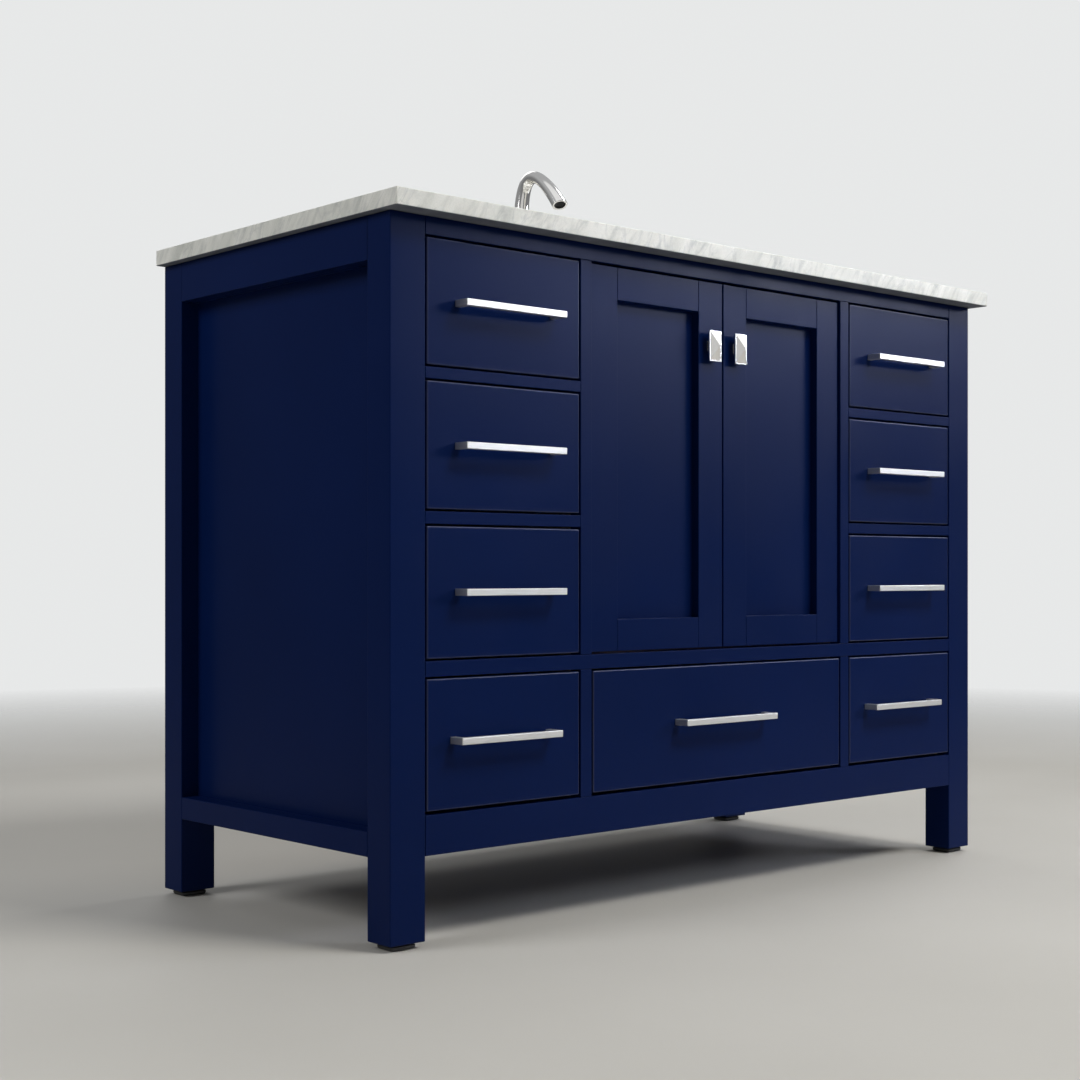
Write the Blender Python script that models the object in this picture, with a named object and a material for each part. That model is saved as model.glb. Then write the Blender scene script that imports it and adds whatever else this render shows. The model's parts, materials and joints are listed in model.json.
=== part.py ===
"""Bathroom vanity cabinet on square legs: two banks of four drawers, a pair of framed doors over a wide
centre drawer, a stone top with an undermounted basin, and a three-piece faucet.

Metres, +Z up. The floor is z = 0, the cabinet faces -Y, and x = 0 is its middle.
"""

import math

import bmesh
import bpy
from mathutils import Matrix, Vector

# Countertop and carcass
TOP_WIDTH = 1.2192
TOP_DEPTH = 0.5588
TOP_HEIGHT = 0.9144
TOP_THICKNESS = 0.022
TOP_EASE = 0.0018
CARCASS_WIDTH = 1.195
CARCASS_DEPTH = 0.527
FRONT_OVERHANG = 0.0284
CLEAR = 0.0003
SIDES = (("left", -1), ("right", 1))

# Legs, side panels, inner panels
POST_WIDTH = 0.054
POST_DEPTH = 0.046
POST_EASE = 0.0012
FOOT_HEIGHT = 0.008
FOOT_SIZE = (0.038, 0.033)
SIDE_TOP_RAIL = 0.0546
SIDE_BOTTOM_RAIL = (0.1108, 0.1416)
SIDE_RAIL_THICKNESS = 0.020
SIDE_RECESS = 0.027
SIDE_PANEL_THICKNESS = 0.009
LEDGER = 0.020
BATTEN_HEIGHT = 0.060
PARTITION_THICKNESS = 0.018
BOARD = 0.012
BACK_THICKNESS = 0.009
PLUMBING_HOLE = (0.36, 0.47, 0.72)

# Face frame: bank openings from the top down, as (bottom, top) heights
FRAME_THICKNESS = 0.020
FRAME_BOTTOM = 0.1116
ROWS = ((0.7090, 0.8697), (0.5325, 0.6945), (0.3491, 0.5168), (0.1612, 0.3297))
BANK_WIDTH = 0.2611
STILE_WIDTH = 0.0202

# Drawers
REVEAL = 0.0025
BOTTOM_REVEAL = 0.0042
FRONT_THICKNESS = 0.019
FRONT_EASE = 0.0018
BOX_CLEARANCE = 0.0133
BOX_LIFT = 0.015
BOX_HEIGHT = 0.115
BOX_DEPTH = 0.450
BOX_WALL = 0.012
BOX_FLOOR = 0.006
BOX_FLOOR_LIFT = 0.010

# Drawer runners: a C-shaped channel on the cabinet, a bar on the drawer box
CHANNEL_HEIGHT = 0.045
CHANNEL_GAUGE = 0.0015
CHANNEL_STANDOFF = 0.0028
RUNNER_BAR = (0.0095, 0.032)

# Doors
DOOR_SETBACK = 0.0036
DOOR_THICKNESS = 0.020
DOOR_REVEAL = 0.0025
DOOR_STILE = 0.0492
DOOR_TOP_RAIL_BOTTOM = 0.8232
DOOR_BOTTOM_RAIL_TOP = 0.3945
DOOR_PANEL_SETBACK = 0.0120
DOOR_PANEL_THICKNESS = 0.006
DOOR_GROOVE = 0.008
HINGE_HEIGHTS = (("lower", 0.430), ("upper", 0.800))
HINGE_ARM = (0.013, 0.062, 0.016)
HINGE_PLATE = (0.004, 0.036, 0.046)

# Pulls and knobs
PULL_PROJECTION = 0.024
PULL_BAR = 0.008
PULL_LEG = 0.009
PULL_HEIGHT = 0.0085
PULL_EASE = 0.0006
PULL_LENGTH = 0.168
CENTRE_PULL_LENGTH = 0.190
BOTTOM_PULL_HEIGHT = 0.2505
BOTTOM_PULL_SHIFT = -0.0075
KNOB_SIZE = (0.024, 0.043)
KNOB_HEIGHT = 0.776
KNOB_PROJECTION = 0.0110
KNOB_PEAK = 0.0085
KNOB_OFFSET = 0.0012
KNOB_EDGE = 0.0030
KNOB_BORDER = 0.0018
KNOB_STEM = 0.011

# Basin and drain
BASIN_CUTOUT = (0.410, 0.285)
BASIN_CENTRE = 0.2425
BASIN_CORNER = 0.060
BASIN_FLANGE = 0.024
BASIN_DEPTH = 0.145
BASIN_WALL = 0.010
DRAIN_HOLE = 0.0225
CORNER_STEPS = 6

# Faucet, as distances behind the face frame's front and heights above the countertop
FAUCET_SETBACK = 0.434
FAUCET_SPREAD = 0.1016
FAUCET_HOLE = 0.0175
SPOUT_REACH = 0.091
SPOUT_COLUMN = 0.105
SPOUT_RISE = 0.1045
SPOUT_MOUTH = 0.119
SPOUT_SLOPE = (0.042, 0.058)
SPOUT_RADIUS = 0.0106
COLUMN_RADIUS = 0.0122
FLARE_START = 0.35
MOUTH_RADIUS = 0.0138
MOUTH_FLATNESS = 0.78
MOUTH_WALL = 0.0035
MOUTH_DEPTH = 0.006
ROUND_STEPS = 24

# Worked out from the above
FRONT = -TOP_DEPTH / 2 + FRONT_OVERHANG
BACK = FRONT + CARCASS_DEPTH
HALF = CARCASS_WIDTH / 2
UNDERSIDE = TOP_HEIGHT - TOP_THICKNESS
OPEN_HALF = HALF - POST_WIDTH
BANK_INNER = OPEN_HALF - BANK_WIDTH
BAY_HALF = BANK_INNER - STILE_WIDTH
BAY_BOTTOM, BAY_TOP = ROWS[2][0], ROWS[0][1]
PARTITION_INNER = BAY_HALF + (STILE_WIDTH - PARTITION_THICKNESS) / 2
PARTITION_OUTER = PARTITION_INNER + PARTITION_THICKNESS
PANEL_INNER = HALF - SIDE_RECESS - SIDE_PANEL_THICKNESS
BOTTOM_TOP = ROWS[3][0]
DECK_TOP = ROWS[2][0]
DOOR_FRONT = FRONT + DOOR_SETBACK
DOOR_OUTER = BAY_HALF - DOOR_REVEAL
DOOR_BOTTOM = BAY_BOTTOM + DOOR_REVEAL
DOOR_TOP = BAY_TOP - DOOR_REVEAL
BASIN_Y = FRONT + BASIN_CENTRE
FAUCET_Y = FRONT + FAUCET_SETBACK
BASIN_FLOOR = UNDERSIDE - BASIN_DEPTH


def clear_scene():
    for obj in list(bpy.data.objects):
        bpy.data.objects.remove(obj, do_unlink=True)


def material(name, colour, roughness, metallic=0.0):
    made = bpy.data.materials.new(name)
    made.use_nodes = True
    shader = made.node_tree.nodes["Principled BSDF"]
    shader.inputs["Base Color"].default_value = (*colour, 1.0)
    shader.inputs["Roughness"].default_value = roughness
    shader.inputs["Metallic"].default_value = metallic
    return made


def make_materials():
    return {
        "navy_paint": material("navy_paint", (0.006, 0.018, 0.095), 0.38),
        "marble": material("marble", (0.80, 0.80, 0.79), 0.18),
        "porcelain": material("porcelain", (0.86, 0.86, 0.84), 0.08),
        "brushed_nickel": material("brushed_nickel", (0.78, 0.77, 0.75), 0.26, 1.0),
        "chrome": material("chrome", (0.86, 0.87, 0.88), 0.06, 1.0),
        "birch": material("birch", (0.62, 0.46, 0.29), 0.50),
        "steel": material("steel", (0.55, 0.56, 0.57), 0.32, 1.0),
        "foot_plastic": material("foot_plastic", (0.03, 0.03, 0.03), 0.60),
    }


def place(name, mesh, finish, origin=(0.0, 0.0, 0.0)):
    """An object whose mesh was made in world coordinates, with its origin put at the given point."""
    mesh.transform(Matrix.Translation(-Vector(origin)))
    obj = bpy.data.objects.new(name, mesh)
    obj.location = origin
    obj.data.materials.append(finish)
    bpy.context.scene.collection.objects.link(obj)
    return obj


def mesh_of(bm, name):
    bmesh.ops.recalc_face_normals(bm, faces=bm.faces)
    mesh = bpy.data.meshes.new(name)
    bm.to_mesh(mesh)
    bm.free()
    return mesh


def box_mesh(name, low, high, ease=0.0):
    low, high = Vector(low), Vector(high)
    bm = bmesh.new()
    bmesh.ops.create_cube(bm, size=1.0)
    bmesh.ops.scale(bm, vec=high - low, verts=bm.verts)
    bmesh.ops.translate(bm, vec=(low + high) / 2, verts=bm.verts)
    if ease:
        bmesh.ops.bevel(bm, geom=bm.edges[:], offset=ease, segments=1, affect="EDGES")
    return mesh_of(bm, name)


def box(name, low, high, finish, ease=0.0, origin=(0.0, 0.0, 0.0)):
    return place(name, box_mesh(name, low, high, ease), finish, origin)


def span(side, near, far):
    """The x range between two distances from the middle, on the side that `side` is the sign of."""
    return tuple(sorted((side * near, side * far)))


def helper(obj):
    obj.hide_render = True
    obj.display_type = "WIRE"
    return obj


def boolean(target, operand, operation):
    modifier = target.modifiers.new(operand.name, "BOOLEAN")
    modifier.operation = operation
    modifier.solver = "EXACT"
    modifier.object = helper(operand)


def join_box(target, name, low, high):
    boolean(target, box(name, low, high, target.data.materials[0]), "UNION")


def cut_box(target, name, low, high):
    boolean(target, box(name, low, high, target.data.materials[0]), "DIFFERENCE")


def loft_mesh(name, rings, close=False):
    """A closed body through rings of equally many points. The ends are capped unless the last ring meets
    the first. A ring of one point is a tip."""
    bm = bmesh.new()
    loops = [[bm.verts.new(point) for point in ring] for ring in rings]
    pairs = list(zip(loops, loops[1:]))
    if close:
        pairs.append((loops[-1], loops[0]))
    for first, second in pairs:
        count = max(len(first), len(second))
        for index in range(count):
            after = (index + 1) % count
            corners = [first[index % len(first)], first[after % len(first)]]
            corners += [second[after % len(second)], second[index % len(second)]]
            bm.faces.new(list(dict.fromkeys(corners)))
    if not close:
        for end in (loops[0], loops[-1]):
            if len(end) > 2:
                bm.faces.new(end)
    return mesh_of(bm, name)


def smooth(obj, angle=35.0):
    obj.data.shade_smooth()
    obj.data.set_sharp_from_angle(angle=math.radians(angle))
    return obj


def circle(centre, radius, steps=ROUND_STEPS):
    turn = 2 * math.pi / steps
    return [
        centre + Vector((radius * math.cos(i * turn), radius * math.sin(i * turn), 0.0))
        for i in range(steps)
    ]


def turned_mesh(name, axis_point, profile, close=False):
    """A body of revolution about the vertical axis. The profile is (radius, height) pairs."""
    rings = [circle(Vector((*axis_point, height)), radius) for radius, height in profile]
    return loft_mesh(name, rings, close)


def rounded_rectangle(half_x, half_y, corner, height, centre_y):
    points = []
    for quarter in range(4):
        sign_x = (1, -1, -1, 1)[quarter]
        sign_y = (1, 1, -1, -1)[quarter]
        middle = Vector((sign_x * (half_x - corner), centre_y + sign_y * (half_y - corner), height))
        for step in range(CORNER_STEPS + 1):
            angle = (quarter + step / CORNER_STEPS) * math.pi / 2
            points.append(middle + corner * Vector((math.cos(angle), math.sin(angle), 0.0)))
    return points


def runner_channel(name, wall, side, row_bottom, finish):
    """A C-shaped channel whose web stands on the wall at x = wall, opening towards `side`."""
    middle = row_bottom + BOX_LIFT + BOX_HEIGHT / 2
    half = CHANNEL_HEIGHT / 2
    lip = half - CHANNEL_GAUGE
    web = side * CHANNEL_GAUGE
    reach = side * (BOX_CLEARANCE - CHANNEL_STANDOFF)
    outline = (
        (0.0, -half), (reach, -half), (reach, -lip), (web, -lip),
        (web, lip), (reach, lip), (reach, half), (0.0, half),
    )
    near = FRONT + FRAME_THICKNESS + 2 * CLEAR
    far = near + BOX_DEPTH
    rings = [[Vector((wall + x, y, middle + z)) for x, z in outline] for y in (near, far)]
    return place(name, loft_mesh(name, rings), finish)


def posts(finishes):
    for end, low, high in (("front", FRONT, FRONT + POST_DEPTH), ("back", BACK - POST_DEPTH, BACK)):
        for word, side in SIDES:
            x_low, x_high = span(side, OPEN_HALF, HALF)
            box(
                f"post_{end}_{word}",
                (x_low, low, FOOT_HEIGHT),
                (x_high, high, UNDERSIDE - CLEAR),
                finishes["navy_paint"],
                POST_EASE,
            )
            x, y = (x_low + x_high) / 2, (low + high) / 2
            box(
                f"foot_pad_{end}_{word}",
                (x - FOOT_SIZE[0] / 2, y - FOOT_SIZE[1] / 2, 0.0),
                (x + FOOT_SIZE[0] / 2, y + FOOT_SIZE[1] / 2, FOOT_HEIGHT - CLEAR),
                finishes["foot_plastic"],
                POST_EASE,
            )


def side_panels(finishes):
    """Each side: two rails flush with the posts, a recessed panel, a ledger and battens for the runners."""
    near = FRONT + POST_DEPTH + CLEAR
    far = BACK - POST_DEPTH - CLEAR
    top = UNDERSIDE - CLEAR
    low, high = SIDE_BOTTOM_RAIL
    for word, side in SIDES:
        x_low, x_high = span(side, PANEL_INNER, HALF - SIDE_RECESS)
        panel = box(f"side_panel_{word}", (x_low, near, low), (x_high, far, top), finishes["navy_paint"])
        x_low, x_high = span(side, PANEL_INNER + CLEAR, HALF)
        join_box(panel, f"side_top_rail_{word}", (x_low, near, top - SIDE_TOP_RAIL), (x_high, far, top))
        join_box(panel, f"side_bottom_rail_{word}", (x_low, near, low), (x_high, far, high))
        x_low, x_high = span(side, OPEN_HALF - LEDGER, PANEL_INNER + CLEAR)
        ledge_top = BOTTOM_TOP - BOARD - CLEAR
        join_box(panel, f"ledger_{word}", (x_low, near, ledge_top - LEDGER), (x_high, far, ledge_top))
        for row, (bottom, _) in enumerate(ROWS, 1):
            middle = bottom + BOX_LIFT + BOX_HEIGHT / 2
            x_low, x_high = span(side, OPEN_HALF - 2 * CLEAR, PANEL_INNER + CLEAR)
            name = f"batten_{word}_{row}"
            half = BATTEN_HEIGHT / 2
            join_box(panel, name, (x_low, near, middle - half), (x_high, far, middle + half))
            channel = runner_channel(
                f"outer_channel_{word}_{row}",
                side * (OPEN_HALF - CLEAR),
                -side,
                bottom,
                finishes["steel"],
            )
            boolean(panel, channel, "UNION")


def partitions(finishes):
    """The two inner uprights. Each carries runner channels on its bank side and one on its bay side."""
    for word, side in SIDES:
        x_low, x_high = span(side, PARTITION_INNER, PARTITION_OUTER)
        upright = box(
            f"partition_{word}",
            (x_low, FRONT + FRAME_THICKNESS + CLEAR, BOTTOM_TOP + CLEAR),
            (x_high, BACK - BACK_THICKNESS - CLEAR, UNDERSIDE - CLEAR),
            finishes["birch"],
        )
        for row, (bottom, _) in enumerate(ROWS, 1):
            name = f"inner_channel_{word}_{row}"
            wall = side * (PARTITION_OUTER - CLEAR)
            boolean(upright, runner_channel(name, wall, side, bottom, finishes["steel"]), "UNION")
        name = f"bay_channel_{word}"
        wall = side * (PARTITION_INNER + CLEAR)
        boolean(upright, runner_channel(name, wall, -side, ROWS[3][0], finishes["steel"]), "UNION")


def face_frame(finishes):
    """Rails and stiles glued up as one frame, with an opening for each drawer and one for the doors."""
    half = OPEN_HALF - CLEAR
    frame = box(
        "face_frame",
        (-half, FRONT, FRAME_BOTTOM),
        (half, FRONT + FRAME_THICKNESS, UNDERSIDE - CLEAR),
        finishes["navy_paint"],
    )
    near = FRONT - FRAME_THICKNESS
    far = FRONT + 2 * FRAME_THICKNESS
    for row, (bottom, top) in enumerate(ROWS, 1):
        for word, side in SIDES:
            x_low, x_high = span(side, BANK_INNER, OPEN_HALF - 2 * CLEAR)
            cut_box(frame, f"frame_opening_{word}_{row}", (x_low, near, bottom), (x_high, far, top))
    bay = BAY_HALF
    cut_box(frame, "frame_opening_doors", (-bay, near, BAY_BOTTOM), (bay, far, BAY_TOP))
    cut_box(frame, "frame_opening_centre", (-bay, near, ROWS[3][0]), (bay, far, ROWS[3][1]))


def inner_boards(finishes):
    near = FRONT + FRAME_THICKNESS + CLEAR
    far = BACK - BACK_THICKNESS - CLEAR
    half = OPEN_HALF - CLEAR
    low, high = (-half, near, BOTTOM_TOP - BOARD), (half, far, BOTTOM_TOP)
    box("bottom_panel", low, high, finishes["birch"])
    half = PARTITION_INNER - CLEAR
    low, high = (-half, near, DECK_TOP - BOARD), (half, far, DECK_TOP)
    box("bay_floor", low, high, finishes["birch"])


def back_panel(finishes):
    half = OPEN_HALF - CLEAR
    panel = box(
        "back_panel",
        (-half, BACK - BACK_THICKNESS, FRAME_BOTTOM),
        (half, BACK, UNDERSIDE - CLEAR),
        finishes["birch"],
    )
    width, low, high = PLUMBING_HOLE
    cut_box(
        panel,
        "plumbing_hole",
        (-width / 2, BACK - 2 * BACK_THICKNESS, low),
        (width / 2, BACK + BACK_THICKNESS, high),
    )


def countertop(finishes):
    slab = box(
        "countertop",
        (-TOP_WIDTH / 2, -TOP_DEPTH / 2, UNDERSIDE),
        (TOP_WIDTH / 2, TOP_DEPTH / 2, TOP_HEIGHT),
        finishes["marble"],
        TOP_EASE,
    )
    heights = (UNDERSIDE - TOP_THICKNESS, TOP_HEIGHT + TOP_THICKNESS)
    half_x, half_y = BASIN_CUTOUT[0] / 2, BASIN_CUTOUT[1] / 2
    rings = [rounded_rectangle(half_x, half_y, BASIN_CORNER, z, BASIN_Y) for z in heights]
    cutter = loft_mesh("basin_cutter", rings)
    boolean(slab, place("basin_cutter", cutter, finishes["marble"]), "DIFFERENCE")
    for index, x in enumerate((-FAUCET_SPREAD, 0.0, FAUCET_SPREAD), 1):
        name = f"faucet_hole_{index}"
        cutter = turned_mesh(name, (x, FAUCET_Y), [(FAUCET_HOLE, z) for z in heights])
        boolean(slab, place(name, cutter, finishes["marble"]), "DIFFERENCE")


def basin(finishes):
    """A bowl with a flange under the countertop and a round drain hole, as one turned-over skin."""
    half_x, half_y = BASIN_CUTOUT[0] / 2, BASIN_CUTOUT[1] / 2
    rim = UNDERSIDE - CLEAR
    floor = BASIN_FLOOR
    skin = (
        (half_x - 0.100, half_y - 0.065, 0.055, floor + BASIN_WALL + 0.002),
        (half_x - 0.040, half_y - 0.032, 0.065, floor + BASIN_WALL + 0.010),
        (half_x - 0.014, half_y - 0.012, 0.062, floor + BASIN_WALL + 0.040),
        (half_x, half_y, BASIN_CORNER, rim - 0.012),
        (half_x + 0.001, half_y + 0.001, BASIN_CORNER, rim),
        (half_x + BASIN_FLANGE, half_y + BASIN_FLANGE, 0.075, rim),
        (half_x + BASIN_FLANGE, half_y + BASIN_FLANGE, 0.075, rim - BASIN_WALL),
        (half_x + BASIN_WALL, half_y + BASIN_WALL, 0.068, rim - BASIN_WALL - 0.004),
        (half_x - 0.004, half_y - 0.002, 0.068, floor + 0.040),
        (half_x - 0.034, half_y - 0.026, 0.070, floor + 0.006),
        (half_x - 0.100, half_y - 0.065, 0.055, floor),
    )
    rings = [rounded_rectangle(*ring, BASIN_Y) for ring in skin]
    for height in (floor, floor + BASIN_WALL):
        hole = rounded_rectangle(DRAIN_HOLE, DRAIN_HOLE, DRAIN_HOLE - 0.0001, height, BASIN_Y)
        rings.append(hole)
    smooth(place("basin", loft_mesh("basin", rings, close=True), finishes["porcelain"]))


def drain(finishes):
    """The drain flange, its threaded body and clamping nut, and the pop-up stopper that rides in it."""
    seat = BASIN_FLOOR + BASIN_WALL + 0.0025
    under = BASIN_FLOOR - CLEAR
    bore = 0.0170
    body = (
        (bore, seat + 0.0010), (0.0240, seat + 0.0030), (0.0300, seat + 0.0016), (0.0300, seat),
        (0.0205, seat - 0.0004), (0.0205, under), (0.0320, under), (0.0320, under - 0.012),
        (0.0190, under - 0.013), (0.0190, under - 0.078), (bore, under - 0.078),
    )
    centre = (0.0, BASIN_Y)
    smooth(place("drain_body", turned_mesh("drain_body", centre, body, close=True), finishes["chrome"]))
    cap = seat + 0.0034
    stopper = (
        (0.0060, under - 0.070), (0.0060, cap - 0.001), (0.0185, cap), (0.0195, cap + 0.0015),
        (0.0180, cap + 0.0040), (0.0080, cap + 0.0060), (0.0001, cap + 0.0064),
    )
    name = "drain_stopper"
    origin = (0.0, BASIN_Y, cap)
    smooth(place(name, turned_mesh(name, centre, stopper), finishes["chrome"], origin))


def spout_path():
    """Points up the column and over the bend to the mouth, with the radius and flatness at each."""
    column_top = TOP_HEIGHT + SPOUT_COLUMN
    mouth = TOP_HEIGHT + SPOUT_MOUTH
    points = []
    for height, radius in (
        (UNDERSIDE - 0.045, 0.0105), (TOP_HEIGHT + CLEAR, 0.0105), (TOP_HEIGHT + CLEAR, 0.0265),
        (TOP_HEIGHT + 0.004, 0.0265), (TOP_HEIGHT + 0.010, 0.0215), (TOP_HEIGHT + 0.026, 0.0148),
        (TOP_HEIGHT + 0.050, 0.0128), (column_top, COLUMN_RADIUS),
    ):
        points.append((Vector((0.0, FAUCET_Y, height)), Vector((0.0, 0.0, 1.0)), radius, 1.0))
    start = Vector((0.0, FAUCET_Y, column_top))
    rise = Vector((0.0, 0.0, SPOUT_RISE))
    end = Vector((0.0, FAUCET_Y - SPOUT_REACH, mouth))
    drop = Vector((0.0, *SPOUT_SLOPE))
    steps = 12
    for step in range(1, steps + 1):
        t = step / steps
        u = 1 - t
        a, b, c, d = start, start + rise, end + drop, end
        point = u**3 * a + 3 * u**2 * t * b + 3 * u * t**2 * c + t**3 * d
        tangent = 3 * u**2 * (b - a) + 6 * u * t * (c - b) + 3 * t**2 * (d - c)
        flare = max(0.0, t - FLARE_START) / (1.0 - FLARE_START)
        narrowing = max(0.0, 1.0 - t / FLARE_START)
        radius = SPOUT_RADIUS + (MOUTH_RADIUS - SPOUT_RADIUS) * flare**1.6
        radius += (COLUMN_RADIUS - SPOUT_RADIUS) * narrowing
        flatness = 1.0 - (1.0 - MOUTH_FLATNESS) * min(1.0, 2.0 * flare)
        points.append((point, tangent.normalized(), radius, flatness))
    point, tangent = points[-1][0], points[-1][1]
    points.append((point, tangent, MOUTH_RADIUS - MOUTH_WALL, MOUTH_FLATNESS))
    points.append((point - tangent * MOUTH_DEPTH, tangent, MOUTH_RADIUS - MOUTH_WALL, MOUTH_FLATNESS))
    return points


def faucet(finishes):
    rings = []
    turn = 2 * math.pi / ROUND_STEPS
    for point, tangent, radius, flat in spout_path():
        across = Vector((1.0, 0.0, 0.0))
        up = across.cross(tangent)
        rings.append([
            point + radius * (across * math.cos(i * turn) + up * flat * math.sin(i * turn))
            for i in range(ROUND_STEPS)
        ])
    smooth(place("faucet_spout", loft_mesh("faucet_spout", rings), finishes["chrome"]), 40.0)
    for word, side in SIDES:
        handle(word, side, finishes["chrome"])


def handle(word, side, finish):
    """A round hub that turns on the countertop, with a lever that points away from the spout."""
    x = side * FAUCET_SPREAD
    profile = (
        (0.0105, UNDERSIDE - 0.040), (0.0105, TOP_HEIGHT + CLEAR), (0.0250, TOP_HEIGHT + CLEAR),
        (0.0250, TOP_HEIGHT + 0.004), (0.0205, TOP_HEIGHT + 0.009), (0.0150, TOP_HEIGHT + 0.026),
        (0.0135, TOP_HEIGHT + 0.040), (0.0150, TOP_HEIGHT + 0.049), (0.0120, TOP_HEIGHT + 0.056),
        (0.0040, TOP_HEIGHT + 0.059),
    )
    name = f"faucet_handle_{word}"
    hub = place(name, turned_mesh(name, (x, FAUCET_Y), profile), finish, (x, FAUCET_Y, TOP_HEIGHT))
    lever = []
    for reach, half_y, low, high in (
        (0.004, 0.0090, 0.0440, 0.0545), (0.030, 0.0070, 0.0475, 0.0560),
        (0.058, 0.0085, 0.0530, 0.0600), (0.074, 0.0070, 0.0570, 0.0620),
    ):
        ring = [(half_y, low), (half_y, high), (-half_y, high), (-half_y, low)]
        lever.append([
            Vector((x + side * reach, FAUCET_Y + y, TOP_HEIGHT + z)) for y, z in ring
        ])
    name = f"faucet_lever_{word}"
    boolean(smooth(hub), place(name, loft_mesh(name, lever), finish), "UNION")


def hollow_box(name, low, high, finish, origin):
    """A drawer box: four walls and a floor set up into them, open above and below the floor."""
    body = box(name, low, high, finish, origin=origin)
    inner_low = Vector(low) + Vector((BOX_WALL, BOX_WALL, BOX_FLOOR_LIFT + BOX_FLOOR))
    inner_high = Vector(high) + Vector((-BOX_WALL, -BOX_WALL, BOX_WALL))
    cut_box(body, f"{name}_inside", inner_low, inner_high)
    under_low = Vector((inner_low.x, inner_low.y, low[2] - BOX_WALL))
    under_high = Vector((inner_high.x, inner_high.y, low[2] + BOX_FLOOR_LIFT))
    cut_box(body, f"{name}_underside", under_low, under_high)
    return body


def pull(name, x, z, length, finish, origin):
    """A square bar on two legs, as one bent outline drawn from above."""
    base = FRONT - CLEAR
    tip = FRONT - PULL_PROJECTION
    inside = tip + PULL_BAR
    outer = length / 2
    inner = outer - PULL_LEG
    outline = (
        (-outer, base), (-outer, tip), (outer, tip), (outer, base),
        (inner, base), (inner, inside), (-inner, inside), (-inner, base),
    )
    rings = [
        [Vector((x + px, py, z + half)) for px, py in outline]
        for half in (-PULL_HEIGHT / 2, PULL_HEIGHT / 2)
    ]
    obj = place(name, loft_mesh(name, rings), finish, origin)
    bevel = obj.modifiers.new("eased_edges", "BEVEL")
    bevel.width = PULL_EASE
    bevel.segments = 1
    bevel.limit_method = "ANGLE"


def drawer(name, x_low, x_high, row, pull_length, finishes):
    bottom, top = ROWS[row]
    last = row == len(ROWS) - 1
    x = (x_low + x_high) / 2
    origin = (x, FRONT, (bottom + top) / 2)
    front_bottom = bottom + (BOTTOM_REVEAL if last else REVEAL)
    box(
        f"{name}_front",
        (x_low + REVEAL, FRONT, front_bottom),
        (x_high - REVEAL, FRONT + FRONT_THICKNESS, top - REVEAL),
        finishes["navy_paint"],
        FRONT_EASE,
        origin,
    )
    near = FRONT + FRONT_THICKNESS + CLEAR
    low = (x_low + BOX_CLEARANCE, near, bottom + BOX_LIFT)
    high = (x_high - BOX_CLEARANCE, near + BOX_DEPTH, bottom + BOX_LIFT + BOX_HEIGHT)
    body = hollow_box(f"{name}_box", low, high, finishes["birch"], origin)
    middle = (low[2] + high[2]) / 2
    reach, height = RUNNER_BAR
    bars = (("left", low[0] - reach, low[0] + CLEAR), ("right", high[0] - CLEAR, high[0] + reach))
    for word, bar_low, bar_high in bars:
        bar_near = (bar_low, FRONT + FRAME_THICKNESS + 3 * CLEAR, middle - height / 2)
        bar_far = (bar_high, near + BOX_DEPTH - BOX_WALL, middle + height / 2)
        join_box(body, f"{name}_runner_{word}", bar_near, bar_far)
    z = BOTTOM_PULL_HEIGHT if last else (bottom + top) / 2
    pull_x = x + BOTTOM_PULL_SHIFT if last else x
    pull(f"{name}_pull", pull_x, z, pull_length, finishes["brushed_nickel"], origin)


def drawers(finishes):
    for word, side in SIDES:
        x_low, x_high = span(side, BANK_INNER, OPEN_HALF)
        for row in range(len(ROWS)):
            drawer(f"drawer_{word}_{row + 1}", x_low, x_high, row, PULL_LENGTH, finishes)
    drawer("drawer_centre", -BAY_HALF, BAY_HALF, 3, CENTRE_PULL_LENGTH, finishes)


def knob(name, x, finish, origin):
    """A short square stem under a tall rectangular head with a border and a four-sided peak."""
    def ring(half_x, half_z, y):
        corners = ((-half_x, -half_z), (half_x, -half_z), (half_x, half_z), (-half_x, half_z))
        return [Vector((x + px, y, KNOB_HEIGHT + pz)) for px, pz in corners]

    half_x, half_z = KNOB_SIZE[0] / 2, KNOB_SIZE[1] / 2
    stem = KNOB_STEM / 2
    face = DOOR_FRONT - KNOB_PROJECTION
    rings = [
        ring(stem, stem, DOOR_FRONT - CLEAR),
        ring(stem, stem, face + KNOB_EDGE),
        ring(half_x, half_z, face + KNOB_EDGE),
        ring(half_x, half_z, face),
        ring(half_x - KNOB_BORDER, half_z - KNOB_BORDER, face),
        [Vector((x, face - KNOB_PEAK, KNOB_HEIGHT))],
    ]
    place(name, loft_mesh(name, rings), finish, origin)


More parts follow.
